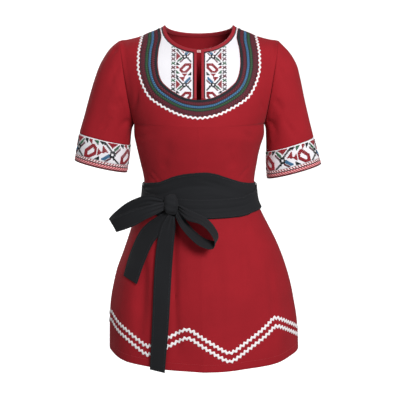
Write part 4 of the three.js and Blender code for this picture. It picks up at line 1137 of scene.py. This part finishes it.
# Pleats of the sash: half-width, depth, then angle and share of its height. Negative depths are ridges.
SASH_PLEATS = [
    (3.2, 1.5, (-88, 0.62), (-50, 0.60), (-10, 0.70), (30, 0.66), (86, 0.60)),
    (2.8, -0.8, (-88, 0.74), (-46, 0.76), (-4, 0.86), (36, 0.80), (86, 0.72)),
    (2.8, 1.2, (-30, 0.34), (10, 0.40), (48, 0.36), (87, 0.30)),
    (2.6, -0.7, (-24, 0.46), (12, 0.54), (50, 0.48), (86, 0.42)),
    (3.4, 1.3, (-86, 0.84), (-58, 0.84), (-30, 0.88)),
    (3.0, 1.1, (20, 0.22), (52, 0.18), (86, 0.16)),
    (5.0, 1.2, (-6, 0.92), (14, 0.78), (40, 0.72)),
]
BACK_PLEATS = [
    (3.2, 1.5, (95, 0.60), (140, 0.66), (180, 0.62), (225, 0.64), (265, 0.60)),
    (2.8, -0.8, (95, 0.72), (145, 0.78), (185, 0.74), (265, 0.72)),
    (3.0, 1.2, (95, 0.32), (150, 0.30), (205, 0.36), (265, 0.30)),
    (2.6, -0.7, (100, 0.44), (160, 0.42), (215, 0.48), (262, 0.44)),
    (3.2, 1.0, (110, 0.84), (150, 0.88), (190, 0.84)),
    (3.0, 1.0, (170, 0.16), (210, 0.14), (262, 0.18)),
]
TIE_PLEATS = [
    (2.6, 1.0, (-88, 0.5), (-70, 0.5), (-40, 0.52)), (2.4, -0.6, (-86, 0.7), (-66, 0.7), (-42, 0.66)),
    (2.6, 1.1, (-21, 0.5), (10, 0.46), (50, 0.5), (88, 0.5)), (2.4, -0.6, (-20, 0.7), (14, 0.68), (52, 0.7)),
    (2.4, 0.9, (-21, 0.28), (16, 0.24), (60, 0.3)), (2.4, 0.8, (30, 0.8), (60, 0.78), (88, 0.8)),
]


def sash_edges(angle):
    angle = np.where(angle > 180, angle - 360, angle)
    return SASH("bottom", angle), SASH("top", angle)


def tie_edges(angle):
    """The tie comes round from the back and narrows to the knot."""
    bottom = SASH("bottom", angle) + TIE["above"]
    return bottom, bottom + mix(TIE["width"], TIE["full"], smoothstep(np.abs(angle), 60, 90))


def sash_form(start, end, distance, edges, pleats, rows=34):
    """Points and normals of pleated cloth a distance off the body, between two angles and two edges."""
    angles = np.linspace(start, end, max(12, int((end - start) / 1.5)) + 1)[None, :]
    share = np.linspace(0, 1, rows + 1)[:, None]

    def spot(angle, height):
        bottom, top = edges(angle)
        return off_body(np.radians(angle), mix(bottom, top, height), np.full(np.shape(angle), distance))

    grid_angles, grid_share = np.broadcast_arrays(angles, share)
    points = spot(grid_angles, grid_share)
    normals = grid_normals(points)
    outward = body_normal(np.radians(grid_angles), points[..., 2])
    normals *= np.sign((normals * outward).sum(-1, keepdims=True))
    paths = []
    for half, depth, *places in pleats:
        line = line_through(places)
        if line[:, 0].max() > start and line[:, 0].min() < end:
            paths.append((spot(line[:, 0], line[:, 1]), half, depth))
    return press(points, normals, paths), normals


KNOT = {"x": -65.0, "z": -415.0, "half": (17.0, 11.0, 24.0), "clear": 3.2}


def surface_y(x, z, distance):
    """How far back the cloth lies at a place in the front view, some distance off the body."""
    share = np.clip((x - BODY("centre", z)) / BODY("half", z), -0.99, 0.99)
    return off_body(np.arcsin(share), z, np.broadcast_to(distance, np.shape(share)))[..., 1]


KNOT_Y = float(surface_y(KNOT["x"], KNOT["z"], TIE["gap"] + TIE["cloth"])) - KNOT["half"][1] - KNOT["clear"]
# Ribbons through stations: place, direction of the width, half the width.
WIDE = (0.26, 0.9, 0.33)
LOOPS = {
    "bow_loop_left": [
        ((-81.7, KNOT_Y - 4, -418), (-0.1, 0, -1), 10), ((-112, KNOT_Y - 10, -428), (-0.25, 0, -1), 17),
        ((-158, KNOT_Y + 8, -449), (0.2, 0, -1), 19), ((-196, KNOT_Y + 34, -468), (0.42, 0, -0.9), 18),
        ((-206, KNOT_Y + 46, -472), (0.47, 0, -0.88), 18), ((-198, KNOT_Y + 54, -462), (0.42, 0, -0.9), 18),
        ((-165, KNOT_Y + 40, -433), (0.1, 0, -1), 19), ((-122, KNOT_Y + 14, -411), (-0.2, 0, -1), 17),
        ((-82.2, KNOT_Y + 3, -411), (-0.1, 0, -1), 10)],
    "bow_loop_right": [
        ((-47.2, KNOT_Y - 1, -422), (0, 0.3, 0.95), 8), ((-28, KNOT_Y - 22, -433), (0.05, 0.7, 0.7), 16),
        ((10, KNOT_Y - 40, -446), WIDE, 18), ((29, KNOT_Y - 44, -464), WIDE, 18),
        ((40, KNOT_Y - 45, -486), WIDE, 18), ((36, KNOT_Y - 45, -500), WIDE, 18),
        ((10, KNOT_Y - 43, -496), WIDE, 18), ((-14, KNOT_Y - 38, -479), WIDE, 18),
        ((-36, KNOT_Y - 26, -456), (0.35, 0.8, 0.4), 15), ((-52.5, KNOT_Y - 5, -434.5), (0.3, 0.5, 0.8), 7)],
}
# The hanging ends in the front view: x, z, distance from the body's form, half the width.
TAILS = {
    "tail_left": [(-73, -436.1, 13.5, 7), (-90, -457, 8, 15), (-108, -476, 5, 19), (-125, -497, 3.8, 20),
                  (-148, -548, 3.4, 20), (-164.5, -599, 3.4, 18.5)],
    "tail_right": [(-64, -439.8, 18.5, 8), (-70, -462, 13, 16), (-76, -490, 9, 19), (-80.5, -525, 6, 20.5),
                   (-85, -588, 3.8, 20.5), (-89.5, -680, 3.4, 20), (-98, -803, 3.4, 18)],
}


def through(stations, t):
    """Smooth curve through stations at places t from 0 to 1, with even speed near close stations."""
    stations = np.asarray(stations, float)
    padded = np.concatenate([[2 * stations[0] - stations[1]], stations, [2 * stations[-1] - stations[-2]]])
    spot = np.clip(np.asarray(t) * (len(stations) - 1), 0, len(stations) - 1 - 1e-9)
    i = spot.astype(int)
    w = (spot - i)[:, None]
    p0, p1, p2, p3 = (padded[i + k] for k in range(4))
    d0, d1, d2 = (np.maximum(np.linalg.norm(b - a, axis=-1, keepdims=True) ** 0.5, 1e-4)
                  for a, b in ((p0, p1), (p1, p2), (p2, p3)))
    leave = ((p1 - p0) / d0 - (p2 - p0) / (d0 + d1) + (p2 - p1) / d1) * d1
    arrive = ((p2 - p1) / d1 - (p3 - p1) / (d1 + d2) + (p3 - p2) / d2) * d1
    return (p1 + leave * w + (3 * (p2 - p1) - 2 * leave - arrive) * w**2
            + (2 * (p1 - p2) + leave + arrive) * w**3)


def gathers(share_across, share_along, amount, reach=0.35, count=3.0):
    """Lengthwise folds that fade away from the knot."""
    fade = np.exp(-((share_along / reach) ** 2))
    return amount * fade * np.cos(math.pi * count * share_across + 0.8)


def ribbon_form(stations, count=120, across=22):
    """Points and normals of a loop of the bow through its stations, with gathers at the knot."""
    t = np.linspace(0, 1, count + 1)
    middle = through([station[0] for station in stations], t)
    widths = unit(through([station[1] for station in stations], t))
    halves = through([(station[2], 0, 0) for station in stations], t)[:, 0]
    tangent = unit(np.gradient(middle, axis=0))
    normal = unit(np.cross(tangent, widths))
    share = np.linspace(-1, 1, across + 1)
    points = middle[None] + widths[None] * (share[:, None] * halves[None])[..., None]
    ends = np.minimum(t, 1 - t)[None, :]
    folds = gathers(share[:, None], ends, 1.7, 0.16) + 0.5 * np.sin(9 * ends + 2 * share[:, None])
    hold = smoothstep(ends, 0.0, 0.03)
    normals = np.broadcast_to(normal[None], points.shape)
    return points + normals * (folds * hold)[..., None] + normals * TIE["cloth"] / 2, normals


def tail_form(stations, count=110, across=20):
    """Points and normals of a hanging end, which lies close in front of the body."""
    t = np.linspace(0, 1, count + 1)
    flat = through([(x, 0, z) for x, z, _, _ in stations], t)
    sizes = through([(gap, half, 0) for _, _, gap, half in stations], t)
    tangent = unit(np.gradient(flat, axis=0))
    share = np.linspace(-1, 1, across + 1)[:, None]
    x = flat[None, :, 0] - share * (sizes[:, 1] * tangent[:, 2])[None]
    z = flat[None, :, 2] + share * (sizes[:, 1] * tangent[:, 0])[None]
    folds = gathers(share, t[None, :], 1.4, 0.22) * smoothstep(t, 0.0, 0.05)[None]
    curl = 0.9 * share**2 * smoothstep(t, 0.15, 0.6)[None] + 0.6 * np.sin(7 * t)[None] * share
    y = surface_y(x, z, sizes[:, 0]) - TIE["cloth"] - np.maximum(folds + curl, -0.4) - 0.4
    points = np.stack([x, y, z], -1)
    normals = grid_normals(points)
    return points, normals * np.where(normals[..., 1:2] > 0, -1, 1)


def knot_form(rings=40, around=64):
    """The knot: a soft lump with folds that run in from both loops."""
    theta = np.linspace(0, math.pi, rings + 1)[:, None]
    psi = np.linspace(0, TURN, around, endpoint=False)[None, :]
    x, y, z = np.cos(theta) + 0 * psi, np.sin(theta) * np.cos(psi), np.sin(theta) * np.sin(psi)
    fan = 0.085 * np.sin(4 * psi + 1.9 * x + 0.5) + 0.05 * np.sin(9 * psi - 2.6 * x)
    waist = -0.09 * np.exp(-((np.abs(x) - 0.78) / 0.16) ** 2)
    square = (x**4 + y**4 + z**4) ** -0.13
    size = 0.97 * square * (1 + (fan + waist) * np.sin(theta) ** 1.5)
    reach = np.minimum(1.0, 1.03 / np.abs(np.stack([x, y, z], -1) * size[..., None]).max(-1))
    return np.stack([x, y, z], -1) * (size * reach)[..., None] * KNOT["half"] + [KNOT["x"], KNOT_Y, KNOT["z"]]


# ---- Sizes and colours that a user would change -----------------------------------------------------

def length(name, default, low, high, description):
    """A length whose default and limits are given in millimetres."""
    return FloatProperty(name=name, description=description, default=default * MM, min=low * MM,
                         max=high * MM, unit="LENGTH")


class TunicSizes(bpy.types.PropertyGroup):
    cloth: length("Cloth", CLOTH, 0.5, 3, "Thickness of the body cloth with its turnings")
    weave: length("Weave", 1.8, 0.4, 4, "Pitch of the body cloth's weave as drawn")
    wave: length("Ricrac wave", 11, 6, 20, "Length of one wave of the ricrac")
    yoke_width: length("Yoke ricrac", 4.8, 2, 8, "Width of the ricrac round the yoke")
    hem_width: length("Hem ricrac", 6.8, 2, 8, "Width of the ricrac above the hem")
    stitch: length("Topstitch", 3, 1.5, 6, "Pitch of the topstitching")
    cuff_repeats: IntProperty(name="Cuff repeats", description="Repeats of the embroidery round a cuff",
                              default=4, min=2, max=8)


def colour(name, code, description):
    """A colour whose default is given as an sRGB hex value."""
    return FloatVectorProperty(name=name, description=description, default=linear(code), subtype="COLOR",
                               size=3, min=0.0, max=1.0)


class TunicColours(bpy.types.PropertyGroup):
    red: colour("Body", "9E1A25", "Red of the body cloth")
    binding: colour("Binding", "A02530", "Red of the neck and slit bindings")
    white: colour("White", "F3F1F6", "White of the bib and cuffs")
    ricrac: colour("Ricrac", "FCF8FA", "White of the ricrac")
    cord: colour("Cord", "22272C", "Near black of the cords")
    maroon: colour("Maroon braid", "662A35", "Maroon of the yoke's braids")
    blue: colour("Blue braid", "48749A", "Blue of the yoke's braid")
    green: colour("Green braid", "3B5B40", "Green of the yoke's braid")
    sash: colour("Sash", "1F2023", "Charcoal of the sash")


# ---- Pieces -----------------------------------------------------------------------------------------

HEM_STITCH = 18.0  # above the hem


def body_stitches(name, height):
    """A line of points on a panel a given distance above its hem."""
    points, normals = panel_form(name)
    step = np.linalg.norm(points[1] - points[0], axis=-1)[:, None]
    share = np.minimum(height / step, 1.0)
    over = (height - step) / np.linalg.norm(points[2] - points[1], axis=-1)[:, None]
    spot = np.where(height > step, mix(points[1], points[2], over), mix(points[0], points[1], share))
    return (spot + normals[1] * STITCH_LIFT)[1:-1]


class TUNIC_OT_body(bpy.types.Operator):
    """Make the front, cut open for the neck slit, and the back"""
    bl_idname = "tunic.body"
    bl_label = "Front and Back"

    def execute(self, context):
        sizes = context.scene.tunic_sizes
        for name, area, cut in (("front", 0.371, self.slit), ("back", 0.356, None)):
            piece = shell(f"{name}_cloth", *panel_form(name), sizes.cloth / MM, "red",
                          ("hem", "seam", "seam", "seam"), cut=cut)
            place(piece, "red_cloth", name)
            stitches = stitch_lines(f"hem_stitches_{name}", [body_stitches(name, HEM_STITCH)], "sewing red",
                                    "red_cloth", sizes.stitch / MM)
        return {"FINISHED"}

    def slit(self, row, column):
        """Cells between the slit's two edges, above its lower end."""
        across = (column > BODY_COLUMNS * FINE_COLUMNS) & (column < (BODY_COLUMNS + 1) * FINE_COLUMNS)
        return across & (row > SLIT_ROW * FINE_ROWS)


class TUNIC_OT_sleeves(bpy.types.Operator):
    """Make both sleeves, from the armhole to the cuff"""
    bl_idname = "tunic.sleeves"
    bl_label = "Sleeves"

    def execute(self, context):
        thickness = context.scene.tunic_sizes.cloth / MM
        for side, sleeve in SLEEVES.items():
            points, normals = sleeve_form(side, 0, CUFF["top"] - CUFF["seam"], 64)
            paths = []
            for half, depth, *places in SLEEVE_CREASES:
                angle, ring = line_through(places).T
                paths.append((sleeve_point(sleeve, np.radians(angle), ring), half, depth))
            points = mix(points, press(points, normals, paths), fading(len(points), 5)[:, None, None])
            piece = shell(f"sleeve_cloth_{side}", points, normals, thickness, "red",
                          ("seam", "seam", "cut", "cut"), closed=True)
            place(piece, "red_cloth", f"sleeve_{side}")
        return {"FINISHED"}


CUFF_RIDGE = 0.9  # height of the ridges along the cuff's braid
CUFF_GROOVES = [0, 0.34, 0.8, 1]  # shares of its width where they meet


class TUNIC_OT_cuffs(bpy.types.Operator):
    """Make the embroidered cuff bands and the braid along their edge"""
    bl_idname = "tunic.cuffs"
    bl_label = "Cuffs"

    def execute(self, context):
        sizes = context.scene.tunic_sizes
        for side, sleeve in SLEEVES.items():
            start, end = CUFF["top"] + CUFF["seam"], CUFF["braid"] - CUFF["seam"]
            points, normals = sleeve_form(side, start, end, 14)
            band = shell(f"cuff_cloth_{side}", points, normals, sizes.cloth / MM, "linen",
                         ("seam", "seam", "cut", "cut"), closed=True)
            place(band, "embroidered_cloth", f"cuff_band_{side}")
            spots = self.chart(sleeve, start + 0.08, end - 0.06, sizes.cuff_repeats)
            crosses = cross_stitches(f"cuff_stitches_{side}", spots, "embroidered_cloth")

            start, end = CUFF["braid"] + CUFF["seam"], CUFF["edge"]
            points, normals = sleeve_form(side, start, end, 20, 128)
            across = np.linspace(0, 1, len(points))[:, None]
            ridges = CUFF_RIDGE * np.abs(np.sin(math.pi * np.interp(across, CUFF_GROOVES, range(4))))
            braid = shell(f"cuff_edge_{side}", points + normals * ridges[..., None], normals, CLOTH + ridges,
                          "cuff", ("hem", "hem", "cut", "cut"), closed=True)
            place(braid, "cuff_braid", f"cuff_braid_{side}")
        return {"FINISHED"}

    def chart(self, sleeve, start, end, repeats):
        """The same repeat turned to run round the cuff."""
        across, along = len(CHART[0]), len(CHART) * repeats
        psi = np.linspace(0, TURN, 721)
        ring = sleeve_point(sleeve, psi, (start + end) / 2)
        length = travelled(ring)
        width = length[-1] / along
        height = math.dist(sleeve_point(sleeve, 0.0, start), sleeve_point(sleeve, 0.0, end)) / across
        spots = []
        for column in range(along):
            angle = float(np.interp((column + 0.5) * width, length, psi))
            for row in range(across):
                letter = CHART[column % len(CHART)][row]
                if letter == ".":
                    continue
                place_ring = mix(start, end, (row + 0.5) / across)
                point = sleeve_point(sleeve, angle, place_ring)
                ahead = sleeve_point(sleeve, angle + 0.01, place_ring)
                normal = unit(point - sleeve_point(sleeve, angle, place_ring, CLOTH))
                spots.append((point + normal * STITCH_LIFT, unit(ahead - point), normal, width, height,
                              LETTERS[letter]))
        return spots


# Section of the neck binding: row of the panel, then distance out from the cloth.
BINDING_SECTION = [
    (3.01, 0.1), (3.19, 0.15), (3.22, 0.9), (3.4, 1.3), (3.7, 1.3), (3.93, 0.8), (4.03, -0.2),
    (4.03, -1.6), (3.93, -2.7), (3.7, -3.0), (3.4, -3.0), (3.02, -2.6), (3.04, -1.0),
]
NECK_POINT = 0.985  # share of the quarter turn where the binding crosses from the front to the back


class TUNIC_OT_neck(bpy.types.Operator):
    """Make the neck binding, the slit's bindings with their piping and the thread bar"""
    bl_idname = "tunic.neck"
    bl_label = "Neck and Slit"

    def execute(self, context):
        start = math.asin(SLIT["half"] / NECK_X) / (math.pi / 2)
        front = np.linspace(start, NECK_POINT, 26)
        stations = [("front", share) for share in front]
        stations += [("back", -share) for share in np.linspace(-NECK_POINT, NECK_POINT, 60)]
        stations += [("front", -share) for share in front[::-1]]
        rings = np.array([[panel_point(name, share, v) + panel_normal(name, share, v) * distance
                           for v, distance in BINDING_SECTION] for name, share in stations])
        place(tube("neck_tape", rings, "binding"), "binding", "neck_binding")
        for label, side in SIDES.items():
            self.slit_edge(side, label)
        self.thread_bar(context)
        return {"FINISHED"}

    def slit_edge(self, side, label):
        """The flat tape along one edge of the slit, and the piping that goes on round the neck."""
        edge_x, edge_z = NECK_X + BINDING_WIDTH, PANELS["front"]["centre"][1]
        inner, outer = SLIT["half"] - 0.1, SLIT["half"] + SLIT["binding"] - 1.9
        rows = []
        for x in np.linspace(inner, outer, 6):
            top = edge_z * math.sqrt(1 - (x / edge_x) ** 2) - 0.5
            rows.append([(side * x, z) for z in np.linspace(SLIT["bottom"] + 3, top, 40)])
        tape = lay_strip(f"slit_tape_{label}", rows, TRIM + 0.5, "binding", crown=0.35)
        place(tape, "binding", f"slit_binding_{label}")
        pipe_x, neck_x, neck_z = outer + 1.2, edge_x - 0.4, edge_z + 0.4
        neck = [(side * neck_x * math.sin(angle), neck_z * math.cos(angle))
                for angle in np.linspace(math.asin(pipe_x / neck_x), math.pi / 2 - 0.05, 60)]
        slit = [(side * pipe_x, z) for z in np.linspace(SLIT["bottom"] + 4, neck[0][1], 40)]
        line = fine_line(slit + neck[1:], 1.6)
        place(lay_cord(f"piping_{label}", line, radius=1.05, plies=2, pitch=4.0, around=10), "dark_cord")

    def thread_bar(self, context):
        """Five strands side by side across the top of the slit."""
        low, high = (np.array(corner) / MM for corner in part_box("neck_bar"))
        middle, half = (low + high) / 2, (high - low) / 2
        theta = np.linspace(0, TURN, 8, endpoint=False)
        x = np.linspace(-half[0], half[0], 13)[:, None]
        swell = 0.9 + 0.15 * np.sin(np.linspace(0, 6 * math.pi, 13))[:, None]
        bars = []
        for i, level in enumerate(np.linspace(-0.75, 0.75, 5)):
            strand = np.stack([x + 0 * theta, 0.9 * swell * np.sin(theta),
                               level * half[2] + 0.8 * swell * np.cos(theta)], -1)
            bars.append(tube(f"bar_strand_{i}", middle + strand, "thread pink"))
        with context.temp_override(active_object=bars[0], selected_editable_objects=bars):
            bpy.ops.object.join()
        bars[0].name = bars[0].data.name = "thread_bar"
        place(bars[0], "neck_thread", "neck_bar")


class TUNIC_OT_bib(bpy.types.Operator):
    """Make both halves of the white bib with their cross-stitch"""
    bl_idname = "tunic.bib"
    bl_label = "Embroidered Bib"

    def execute(self, context):
        chart = bib_chart()
        for label, side in SIDES.items():
            columns = []
            for t in np.linspace(0, 1, 70):
                inner, outer = np.array(bib_edges(t)) * (side, 1)
                reach = 1 - BIB["gap"] / math.dist(inner, outer)
                columns.append([mix(inner, outer, share) for share in np.linspace(0, reach, 26)])
            points, normals = lay_front(zip(*columns))
            points = points + normals * (LIFT + BIB["cloth"])
            cloth = shell(f"bib_cloth_{label}", points, normals, BIB["cloth"], "linen")
            place(cloth, "embroidered_cloth", f"bib_{label}")
            spots = []
            for x, z, thread in chart:
                point, normal = from_front(surface_of("front"), -side * x, z)
                tangent = unit(np.cross([0, 0, 1], -normal)) * side
                cell = STITCH["cell"]
                spots.append((point + normal * (LIFT + 0.62), tangent, normal, cell, cell, thread))
            crosses = cross_stitches(f"bib_stitches_{label}", spots, "embroidered_cloth")
        return {"FINISHED"}


class TUNIC_OT_yoke(bpy.types.Operator):
    """Make the braids of the yoke, the cords between them and the ricrac round it"""
    bl_idname = "tunic.yoke"
    bl_label = "Braided Yoke"

    def execute(self, context):
        for name, solid, slot, finish, start, end in YOKE_BRAIDS:
            rows = [yoke_line(share) for share in np.linspace(start, end, 5)]
            place(lay_strip(name, rows, TRIM, finish), slot, solid)
        for label, share, step, radius, plies, pitch, around, *solids in YOKE_CORDS:
            line = fine_line(yoke_line(share), step)
            place(lay_cord(f"cord_{label}", line, radius, plies, pitch, around), "dark_cord", *solids)
        sizes = context.scene.tunic_sizes
        wave = sizes.wave / MM
        edging = ricrac("yoke_edging", *fine_line(yoke_line(1.0), wave / RICRAC_STEPS), False, wave,
                        YOKE_SWING, sizes.yoke_width / MM / 2)
        place(edging, "ricrac", "yoke_ricrac")
        return {"FINISHED"}


class TUNIC_OT_hem_trim(bpy.types.Operator):
    """Make the two rows of ricrac that zigzag above the hem"""
    bl_idname = "tunic.hem_trim"
    bl_label = "Hem Ricrac"

    def execute(self, context):
        sizes = context.scene.tunic_sizes
        wave = sizes.wave / MM
        for label, lower in (("upper", 0.0), ("lower", ROW_GAP)):
            laid = [on_body(phi, hem_line(phi) + float(zigzag_height(phi)) - lower)
                    for phi in np.linspace(-math.pi, math.pi, HEM_PLACES, endpoint=False)]
            points, normals = np.moveaxis(np.array(laid + laid[:1]), -2, 0)
            row = ricrac(f"hem_row_{label}", *evenly(points, normals, wave / RICRAC_STEPS, closed=True), True,
                         wave, HEM_SWING, sizes.hem_width / MM / 2)
            place(row, "ricrac", f"hem_ricrac_{label}")
        return {"FINISHED"}


# Cloth round the waist: piece, solid, from and to in degrees, layer, pleats, flat size and area.
WAIST_CLOTHS = [
    ("sash_cloth_front", "sash_front", -SASH_SEAM, SASH_SEAM, "sash", SASH_PLEATS, (0.44, 0.125), 0.0375),
    ("sash_cloth_back", "sash_back", 180 - SASH_SEAM, 180 + SASH_SEAM, "sash", BACK_PLEATS, (0.39, 0.065),
     0.0235),
    ("tie_cloth_right", "sash_tie_right", -22.5, SASH_SEAM, "tie", TIE_PLEATS, (0.27, 0.06), 0.0118),
    ("tie_cloth_left", "sash_tie_left", -SASH_SEAM, -37.5, "tie", TIE_PLEATS, (0.12, 0.06), 0.0056),
]
# Distance of its outer side from the body, thickness and edges.
WAIST_LAYERS = {
    "sash": (SASH_GAP + SASH_CLOTH, SASH_CLOTH, sash_edges),
    "tie": (TIE["gap"] + TIE["cloth"], TIE["cloth"], tie_edges),
}


class TUNIC_OT_sash(bpy.types.Operator):
    """Make the pleated sash and the ties over it"""
    bl_idname = "tunic.sash"
    bl_label = "Sash"

    def execute(self, context):
        for name, solid, start, end, layer, pleats, flat, area in WAIST_CLOTHS:
            distance, cloth, edges = WAIST_LAYERS[layer]
            points, normals = sash_form(start, end, distance, edges, pleats)
            piece = shell(name, points, normals, cloth, "sash")
            place(piece, "sash_cloth", solid)
            lines = [mix(points[a], points[b], 0.6) + normals[a] * STITCH_LIFT for a, b in ((1, 2), (-2, -3))]
            stitches = stitch_lines(f"{name}_stitches", lines, "sewing black", "sash_cloth")
        return {"FINISHED"}


# Flat length, width and area of the bow's parts, in metres.
BOW_FLATS = {"bow_loop_left": (0.32, 0.037, 0.0105), "bow_loop_right": (0.275, 0.036, 0.0086),
             "tail_left": (0.205, 0.05, 0.0095), "tail_right": (0.37, 0.044, 0.0152)}


class TUNIC_OT_bow(bpy.types.Operator):
    """Make the bow: its knot, its two loops and its two hanging ends"""
    bl_idname = "tunic.bow"
    bl_label = "Bow"

    def execute(self, context):
        rings = knot_form()
        first, last = (mix(rings[beside], rings[pole].mean(0), 0.85) for beside, pole in ((1, 0), (-2, -1)))
        knot = tube("bow_knot_cloth", np.concatenate([first[None], rings[1:-1], last[None]]), "sash")
        place(knot, "sash_cloth", "bow_knot")
        for name, (length_m, width_m, area) in BOW_FLATS.items():
            points, normals = ribbon_form(LOOPS[name]) if name in LOOPS else tail_form(TAILS[name])
            piece = shell(f"{name}_cloth", points, normals, TIE["cloth"], "sash")
            place(piece, "sash_cloth", name)
            lines = [points[row] + normals[row] * 0.08 for row in (2, -3)]
            stitches = stitch_lines(f"{name}_stitches", lines, "sewing black", "sash_cloth")
        return {"FINISHED"}


# ---- Stage ------------------------------------------------------------------------------------------

# In metres; the focal length is a share of the sensor's width, and the elevation is in degrees.
CAMERA = {"target": (0.0025, 0.0, -0.4206), "elevation": 9, "distance": 2.1, "sensor": 36, "focal": 857 / 400}
SWEEP = {"floor_y": (-4.0, 1.6), "floor_z": -1.25, "radius": 1.0, "top": 3.5, "half": 5}
# Name, place, size and power: a soft key light from the right front, a weak fill and one from behind.
LIGHTS = [("key", (1.1, -2.4, 0.9), 1.0, 76), ("fill", (-2.0, -1.8, 0.1), 1.8, 5),
          ("back", (-1.2, 2.2, 0.8), 1.6, 44)]
LIT_PLACE = (0, 0, -0.4)
ROOM_LIGHT = 0.24  # the room's even light on the garment; the camera sees it at full white


def look_at(thing, place_m, target):
    thing.location = place_m
    thing.rotation_euler = (Vector(target) - Vector(place_m)).to_track_quat("-Z", "Y").to_euler()


class TUNIC_OT_stage(bpy.types.Operator):
    """Make the pale sweep, the soft lights and the camera"""
    bl_idname = "tunic.stage"
    bl_label = "Stage"

    def execute(self, context):
        scene = context.scene
        target = Vector(CAMERA["target"])
        elevation = math.radians(CAMERA["elevation"])
        camera = bpy.data.objects.new("camera", bpy.data.cameras.new("camera"))
        scene.collection.objects.link(camera)
        camera.data.sensor_width = CAMERA["sensor"]
        camera.data.lens = CAMERA["focal"] * CAMERA["sensor"]
        away = Vector((0, -math.cos(elevation), math.sin(elevation)))
        look_at(camera, target + CAMERA["distance"] * away, target)
        scene.camera = camera

        # Matt paint: a plain near-white without a highlight, lit a little from within so that it stays even.
        backdrop, tree = new_material("pale painted studio sweep")
        shader = tree.nodes["Principled BSDF"]
        for name, value in (("Base Color", (*linear("F4F4F4"), 1)), ("Roughness", 0.9),
                            ("Emission Color", (1, 1, 1, 1)), ("Emission Strength", 0.62)):
            shader.inputs[name].default_value = value
        (near, far), floor, radius, top = SWEEP["floor_y"], SWEEP["floor_z"], SWEEP["radius"], SWEEP["top"]
        profile = [(near, floor), (far, floor)]
        profile += [(far + radius * math.sin(angle), floor + radius * (1 - math.cos(angle)))
                    for angle in np.linspace(0, math.pi / 2, 13)[1:]]
        profile += [(far + radius, top)]
        mesh = bpy.data.meshes.new("sweep")
        mesh.from_pydata([(x, y, z) for y, z in profile for x in (-SWEEP["half"], SWEEP["half"])], [],
                         [(2 * i, 2 * i + 1, 2 * i + 3, 2 * i + 2) for i in range(len(profile) - 1)])
        mesh.polygons.foreach_set("use_smooth", [True] * len(mesh.polygons))
        mesh.materials.append(backdrop)
        sweep = bpy.data.objects.new("sweep", mesh)
        scene.collection.objects.link(sweep)
        # The bright sweep doesn't light the garment, as if black flags stood beside it.
        sweep.visible_diffuse = False
        sweep.visible_glossy = False

        for name, spot, size, power in LIGHTS:
            lamp = bpy.data.objects.new(name, bpy.data.lights.new(name, "AREA"))
            scene.collection.objects.link(lamp)
            lamp.data.size, lamp.data.energy = size, power
            look_at(lamp, spot, LIT_PLACE)
        scene.world = bpy.data.worlds.new("studio")
        scene.world.use_nodes = True
        tree = scene.world.node_tree
        seen = node(tree, "ShaderNodeLightPath").outputs["Is Camera Ray"]
        background = tree.nodes["Background"]
        background.inputs["Color"].default_value = (1, 1, 1, 1)
        strength = node(tree, "ShaderNodeMath", {"operation": "MAXIMUM"}, {0: seen, 1: ROOM_LIGHT})
        tree.links.new(strength.outputs[0], background.inputs["Strength"])
        scene.view_settings.view_transform = "Standard"
        return {"FINISHED"}


STEPS = [TUNIC_OT_stage, TUNIC_OT_body, TUNIC_OT_sleeves, TUNIC_OT_cuffs, TUNIC_OT_neck, TUNIC_OT_bib,
         TUNIC_OT_yoke, TUNIC_OT_hem_trim, TUNIC_OT_sash, TUNIC_OT_bow]


class TUNIC_PT_panel(bpy.types.Panel):
    """Lists the garment's pieces, sizes and colours"""
    bl_idname = "TUNIC_PT_panel"
    bl_label = "Folk Tunic"
    bl_space_type = "VIEW_3D"
    bl_region_type = "UI"
    bl_category = "Tunic"

    def draw(self, context):
        for group in (context.scene.tunic_sizes, context.scene.tunic_colours):
            for name in group.__annotations__:
                self.layout.prop(group, name)
        for step in STEPS:
            self.layout.operator(step.bl_idname)


CLASSES = [TunicSizes, TunicColours, *STEPS, TUNIC_PT_panel]


def register():
    for made in CLASSES:
        bpy.utils.register_class(made)
    bpy.types.Scene.tunic_sizes = PointerProperty(type=TunicSizes)
    bpy.types.Scene.tunic_colours = PointerProperty(type=TunicColours)


def unregister():
    del bpy.types.Scene.tunic_sizes
    del bpy.types.Scene.tunic_colours
    for made in reversed(CLASSES):
        bpy.utils.unregister_class(made)


def main():
    register()
    for step in STEPS:
        group, name = step.bl_idname.split(".")
        getattr(getattr(bpy.ops, group), name)()


if __name__ == "__main__":
    main()
